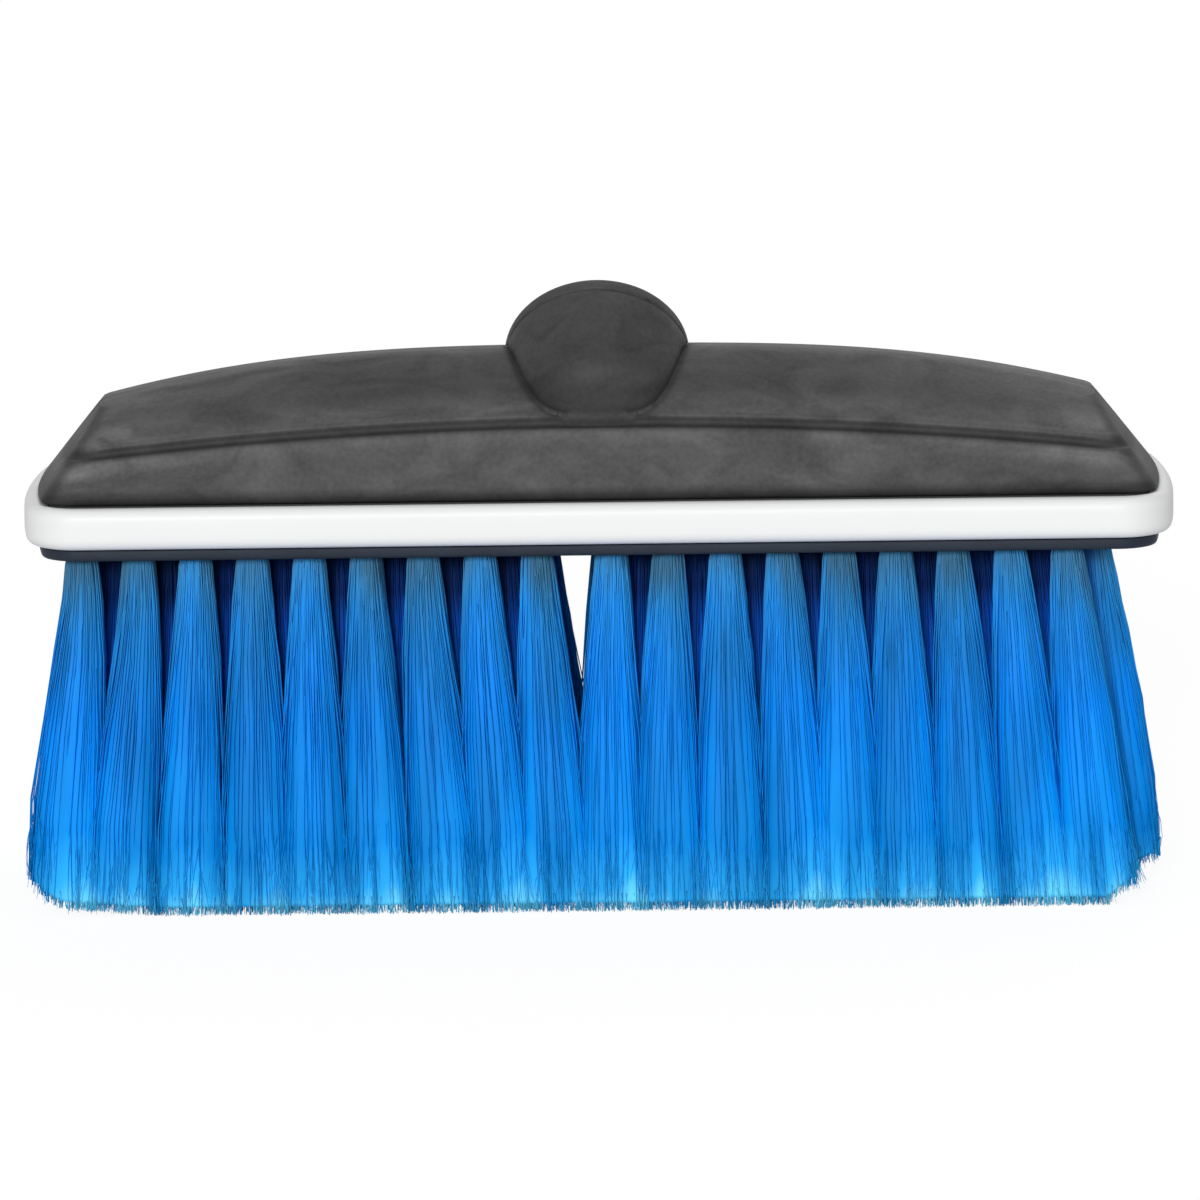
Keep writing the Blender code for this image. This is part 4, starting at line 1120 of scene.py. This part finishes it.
# %% A moulded finish
def new_material(name, roughness, **sockets):
    """A material with a Principled shader whose plain values are set on its sockets."""
    material = bpy.data.materials.new(name)
    material.use_nodes = True
    tree = material.node_tree
    shader = tree.nodes["Principled BSDF"]
    shader.inputs["Roughness"].default_value = roughness
    for label, value in sockets.items():
        shader.inputs[label.replace("_", " ")].default_value = value
    return material, tree, shader, add_node(tree, "TexCoord").outputs["Object"]


def mottled(name, colour, roughness, strength, scale, bump, rough_swing=0.08, painted_tones="", **sockets):
    """A moulded finish: colour and roughness follow the mottle and the grain is a bump.

    A piece that carries painted light and shade as an attribute has its colour multiplied by it.
    """
    material, tree, shader, place = new_material(name, roughness, **sockets)
    group = tree.nodes.new("ShaderNodeGroup")
    group.node_tree = MOTTLE
    for label, value in (("Vector", place), ("Cloud Scale", scale), ("Strength", strength)):
        feed(tree, value, group.inputs[label])
    mottle = group.outputs["Shade"]
    shade = operation(tree, "Math", "MULTIPLY", mottle, stored(tree, painted_tones)) if painted_tones else mottle
    feed(tree, scaled(tree, colour, shade), shader.inputs["Base Color"])
    roughest, smoothest = roughness + rough_swing, roughness - rough_swing
    rough = ranged(tree, mottle, 1 - strength, 1 + strength, roughest, smoothest)
    feed(tree, rough, shader.inputs["Roughness"])
    relief = add_node(tree, "Bump", Strength=bump, Distance=0.0001, Height=group.outputs["Grain"])
    feed(tree, relief.outputs["Normal"], shader.inputs["Normal"])
    return material


# The cover's colour is multiplied by its painted light and shade.
BLACK_PLASTIC = mottled("black_plastic", (0.078, 0.078, 0.079), 0.62, 1.7, 75.0, 0.6,
                        painted_tones="painted_light_and_shade", Specular_IOR_Level=0.22)
# A darker, navy copy of the black plastic, as painted shade for the plate's lip under the bumper;
# the strips' backings use it too.
SHADED_PLASTIC = mottled("shaded_plastic", (0.016, 0.0235, 0.037), 0.60, 0.60, 75.0, 0.5,
                       Specular_IOR_Level=0.2)
WHITE_VINYL = mottled("white_vinyl", (0.86, 0.87, 0.865), 0.45, 0.025, 40.0, 0.15,
                      Specular_IOR_Level=0.35)
SEAL_RUBBER = mottled("seal_rubber", (0.03, 0.03, 0.032), 0.78, 0.25, 120.0, 0.5)
INSERT_PLASTIC = mottled("insert_plastic", (0.16, 0.16, 0.165), 0.35, 0.12, 90.0, 0.2)
SCREW_STEEL = mottled("screw_steel", (0.62, 0.62, 0.60), 0.30, 0.10, 300.0, 0.3, Metallic=1.0)

# %% [markdown]
# A filament is paler at its split tip and darker at its root, where the darkening is a
# painted shadow under the lip; one ramp along the tuft gives both. A second ramp paints
# shade deep in the gaps, down to a navy, and each strand has its own tint. Streaks come
# from noise that is stretched along the tuft.

# %% The blue bristle
# The darker first stops are a painted shadow under the lip; the paler last ones are the split tips.
BRISTLE_STOPS = [
    (0.0, (0.066, 0.225, 0.390)), (0.05, (0.052, 0.255, 0.520)), (0.10, (0.034, 0.292, 0.670)),
    (0.18, (0.017, 0.300, 0.800)), (0.45, (0.002, 0.272, 0.850)),
    (0.80, (0.001, 0.300, 0.850)), (0.93, (0.026, 0.465, 0.970)), (1.0, (0.150, 0.700, 1.000)),
]
# Painted shade deep in the gaps, from none down to a dark navy.
GAP_SHADE_STOPS = [
    (0.0, (1.0, 1.0, 1.0)), (0.30, (0.50, 0.64, 0.95)), (0.55, (0.20, 0.55, 0.95)),
    (0.83, (0.08, 0.27, 0.60)), (1.0, (0.03, 0.075, 0.20)),
]


def make_bristle_material():
    """Blue filament, coloured by its share of the tuft, its tint and streaks.

    Its root has a painted shadow under the lip, and painted shade darkens it deep in the gaps.
    """
    material, tree, shader, place = new_material("blue_bristle", 0.52, Specular_IOR_Level=0.08)
    tint = stored(tree, "strand_tint")
    stretched = add_node(tree, "Mapping", Vector=place, Scale=(1.0, 1.0, 0.1)).outputs[0]
    streak = ranged(tree, noise(tree, stretched, 115.0, 2.0), 0.35, 0.65, -1.0, 1.0)
    along = operation(tree, "Math", "MULTIPLY_ADD", streak, 0.05, stored(tree, "tip_share"))
    blue = colour_ramp(tree, BRISTLE_STOPS, along)
    gap = colour_ramp(tree, GAP_SHADE_STOPS, stored(tree, "painted_gap_shade"))
    shaded = operation(tree, "VectorMath", "MULTIPLY", blue, gap)
    own = ranged(tree, tint, 0, 1, 0.90, 1.0)
    factor = operation(tree, "Math", "MULTIPLY_ADD", streak, 0.15, own)
    grain = noise(tree, stretched, 1400.0, 1.0)
    relief = add_node(tree, "Bump", Strength=0.25, Distance=0.0002, Height=grain)
    feed(tree, scaled(tree, shaded, factor), shader.inputs["Base Color"])
    feed(tree, ranged(tree, tint, 0, 1, 0.46, 0.58), shader.inputs["Roughness"])
    feed(tree, relief.outputs["Normal"], shader.inputs["Normal"])
    return material


BLUE_BRISTLE = make_bristle_material()

# %% [markdown]
# Each piece now takes the place of its solids. The gasket and the screws stay as packed,
# since they are plain and hidden, and only get their finishes.

# %% Put the pieces on the brush
add_piece("cover_moulding", cover_mesh, BLACK_PLASTIC, "black_plastic", "upper_cover", sharp=32)
add_piece("base_moulding", plate_mesh, SHADED_PLASTIC, "black_plastic", "base_plate")
add_piece("vinyl_bumper", bumper_mesh, WHITE_VINYL, "white_vinyl", "bumper_strip", sharp=50)
add_piece("pole_insert", insert_mesh, INSERT_PLASTIC, "insert_plastic", "threaded_insert")
add_piece("mouth_washer", washer_mesh, SEAL_RUBBER, "seal_rubber", "hose_washer")
for name, row, side, columns in strip_plan():
    mesh, backing_count = tuft_strip(name, row, side, columns)
    piece_name = name.replace("tuft_strip", "tufts")
    add_piece(piece_name, mesh, BLUE_BRISTLE, "blue_bristle", name, sharp=0)
    mesh.materials.append(SHADED_PLASTIC)
    on_backing = np.arange(len(mesh.polygons)) >= len(mesh.polygons) - backing_count
    mesh.polygons.foreach_set("material_index", on_backing.astype(np.int32))
for name in ["cover_gasket"] + [f"cover_screw_{i}" for i in range(1, 7)]:
    NODES[name].data.materials.clear()
    NODES[name].data.materials.append(SEAL_RUBBER if name == "cover_gasket" else SCREW_STEEL)

# %% [markdown]
# A pale floor takes the shadow. What the camera sees of it is mostly its own white, so
# the background stays white without more light on the brush.

# %% The floor and the world
FLOOR_HALF, FLOOR_GLOW, FLOOR_GLOW_SHARE, SKY_STRENGTH = 6.0, 1.14, 0.80, 0.32
WHITE, FLOOR_GREY = (1, 1, 1, 1), (0.8, 0.8, 0.8, 1)


def looked_at(tree):
    """One for rays from the camera, a mirror or glass, and zero for rays of light."""
    rays = add_node(tree, "LightPath").outputs
    bounced = operation(tree, "Math", "MAXIMUM", rays["Is Glossy Ray"], rays["Is Transmission Ray"])
    return operation(tree, "Math", "MAXIMUM", rays["Is Camera Ray"], bounced)


def mixed(tree, share, first, second):
    """Two shaders mixed by a share."""
    node = add_node(tree, "MixShader", Fac=share)
    feed(tree, first, node.inputs[1])
    feed(tree, second, node.inputs[2])
    return node.outputs[0]


def make_floor():
    """A wide plane under the tips, white to the camera and plain diffuse to the light."""
    corners = FLOOR_HALF * np.array([(-1, -1, 0), (1, -1, 0), (1, 1, 0), (-1, 1, 0)])
    mesh = mesh_from("floor", corners, np.array([[0, 1, 2, 3]]))
    material = bpy.data.materials.new("pale_floor")
    material.use_nodes = True
    tree = material.node_tree
    tree.nodes.clear()
    plain = add_node(tree, "BsdfDiffuse", Color=FLOOR_GREY).outputs[0]
    glow = add_node(tree, "Emission", Color=WHITE, Strength=FLOOR_GLOW).outputs[0]
    seen = mixed(tree, FLOOR_GLOW_SHARE, plain, glow)
    add_node(tree, "OutputMaterial", Surface=mixed(tree, looked_at(tree), plain, seen))
    mesh.materials.append(material)
    floor = new_object("floor", mesh)


def make_world():
    """Soft even light, and white to whatever looks straight at it."""
    world = bpy.data.worlds.new("studio")
    world.use_nodes = True
    tree = world.node_tree
    tree.nodes.clear()
    strength = ranged(tree, looked_at(tree), 0, 1, SKY_STRENGTH, 1.0)
    sky = add_node(tree, "Background", Color=WHITE, Strength=strength)
    add_node(tree, "OutputWorld", Surface=sky.outputs[0])
    bpy.context.scene.world = world


make_floor()
make_world()


# %% The lamps
def add_sun(name, azimuth, elevation, softness, strength):
    """A broad distant lamp; azimuth 0 shines from the front and 90 from the right."""
    lamp = bpy.data.lights.new(name, "SUN")
    lamp.angle, lamp.energy = math.radians(softness), strength
    a, e = math.radians(azimuth), math.radians(elevation)
    source = Vector((math.sin(a) * math.cos(e), -math.cos(a) * math.cos(e), math.sin(e)))
    new_object(name, lamp).rotation_euler = (-source).to_track_quat("-Z", "Y").to_euler()
    print(f"{name} lamp: {azimuth} degrees round, {elevation} up, strength {strength}")


add_sun("key", -8, 15, 16, 2.1)
add_sun("back", 170, 35, 40, 0.5)

# %% [markdown]
# The photograph looks at the front from about ten degrees up, through a long lens, and
# is turned by less than a degree. The frame is 272 mm wide at the brush.

# %% The camera
VIEW_WIDTH, LENS, SENSOR = 0.2722, 250.0, 36.0
ELEVATION, ROLL = math.radians(10), math.radians(-0.7)
MIDDLE = (0, 0, 0.064)


def make_camera():
    """A long lens at the distance at which the frame is as wide as the photograph's."""
    data = bpy.data.cameras.new("camera")
    data.lens, data.sensor_width = LENS, SENSOR
    distance = VIEW_WIDTH * LENS / SENSOR
    back = Vector((0, -math.cos(ELEVATION), math.sin(ELEVATION)))
    turn = (-back).to_track_quat("-Z", "Y").to_matrix().to_4x4() @ Matrix.Rotation(ROLL, 4, "Z")
    camera = new_object("camera", data)
    camera.matrix_world = Matrix.Translation(Vector(MIDDLE) + back * distance) @ turn
    bpy.context.scene.camera = camera
    print("camera distance:", round(distance, 3))


make_camera()
bpy.context.scene.view_settings.view_transform = "Standard"
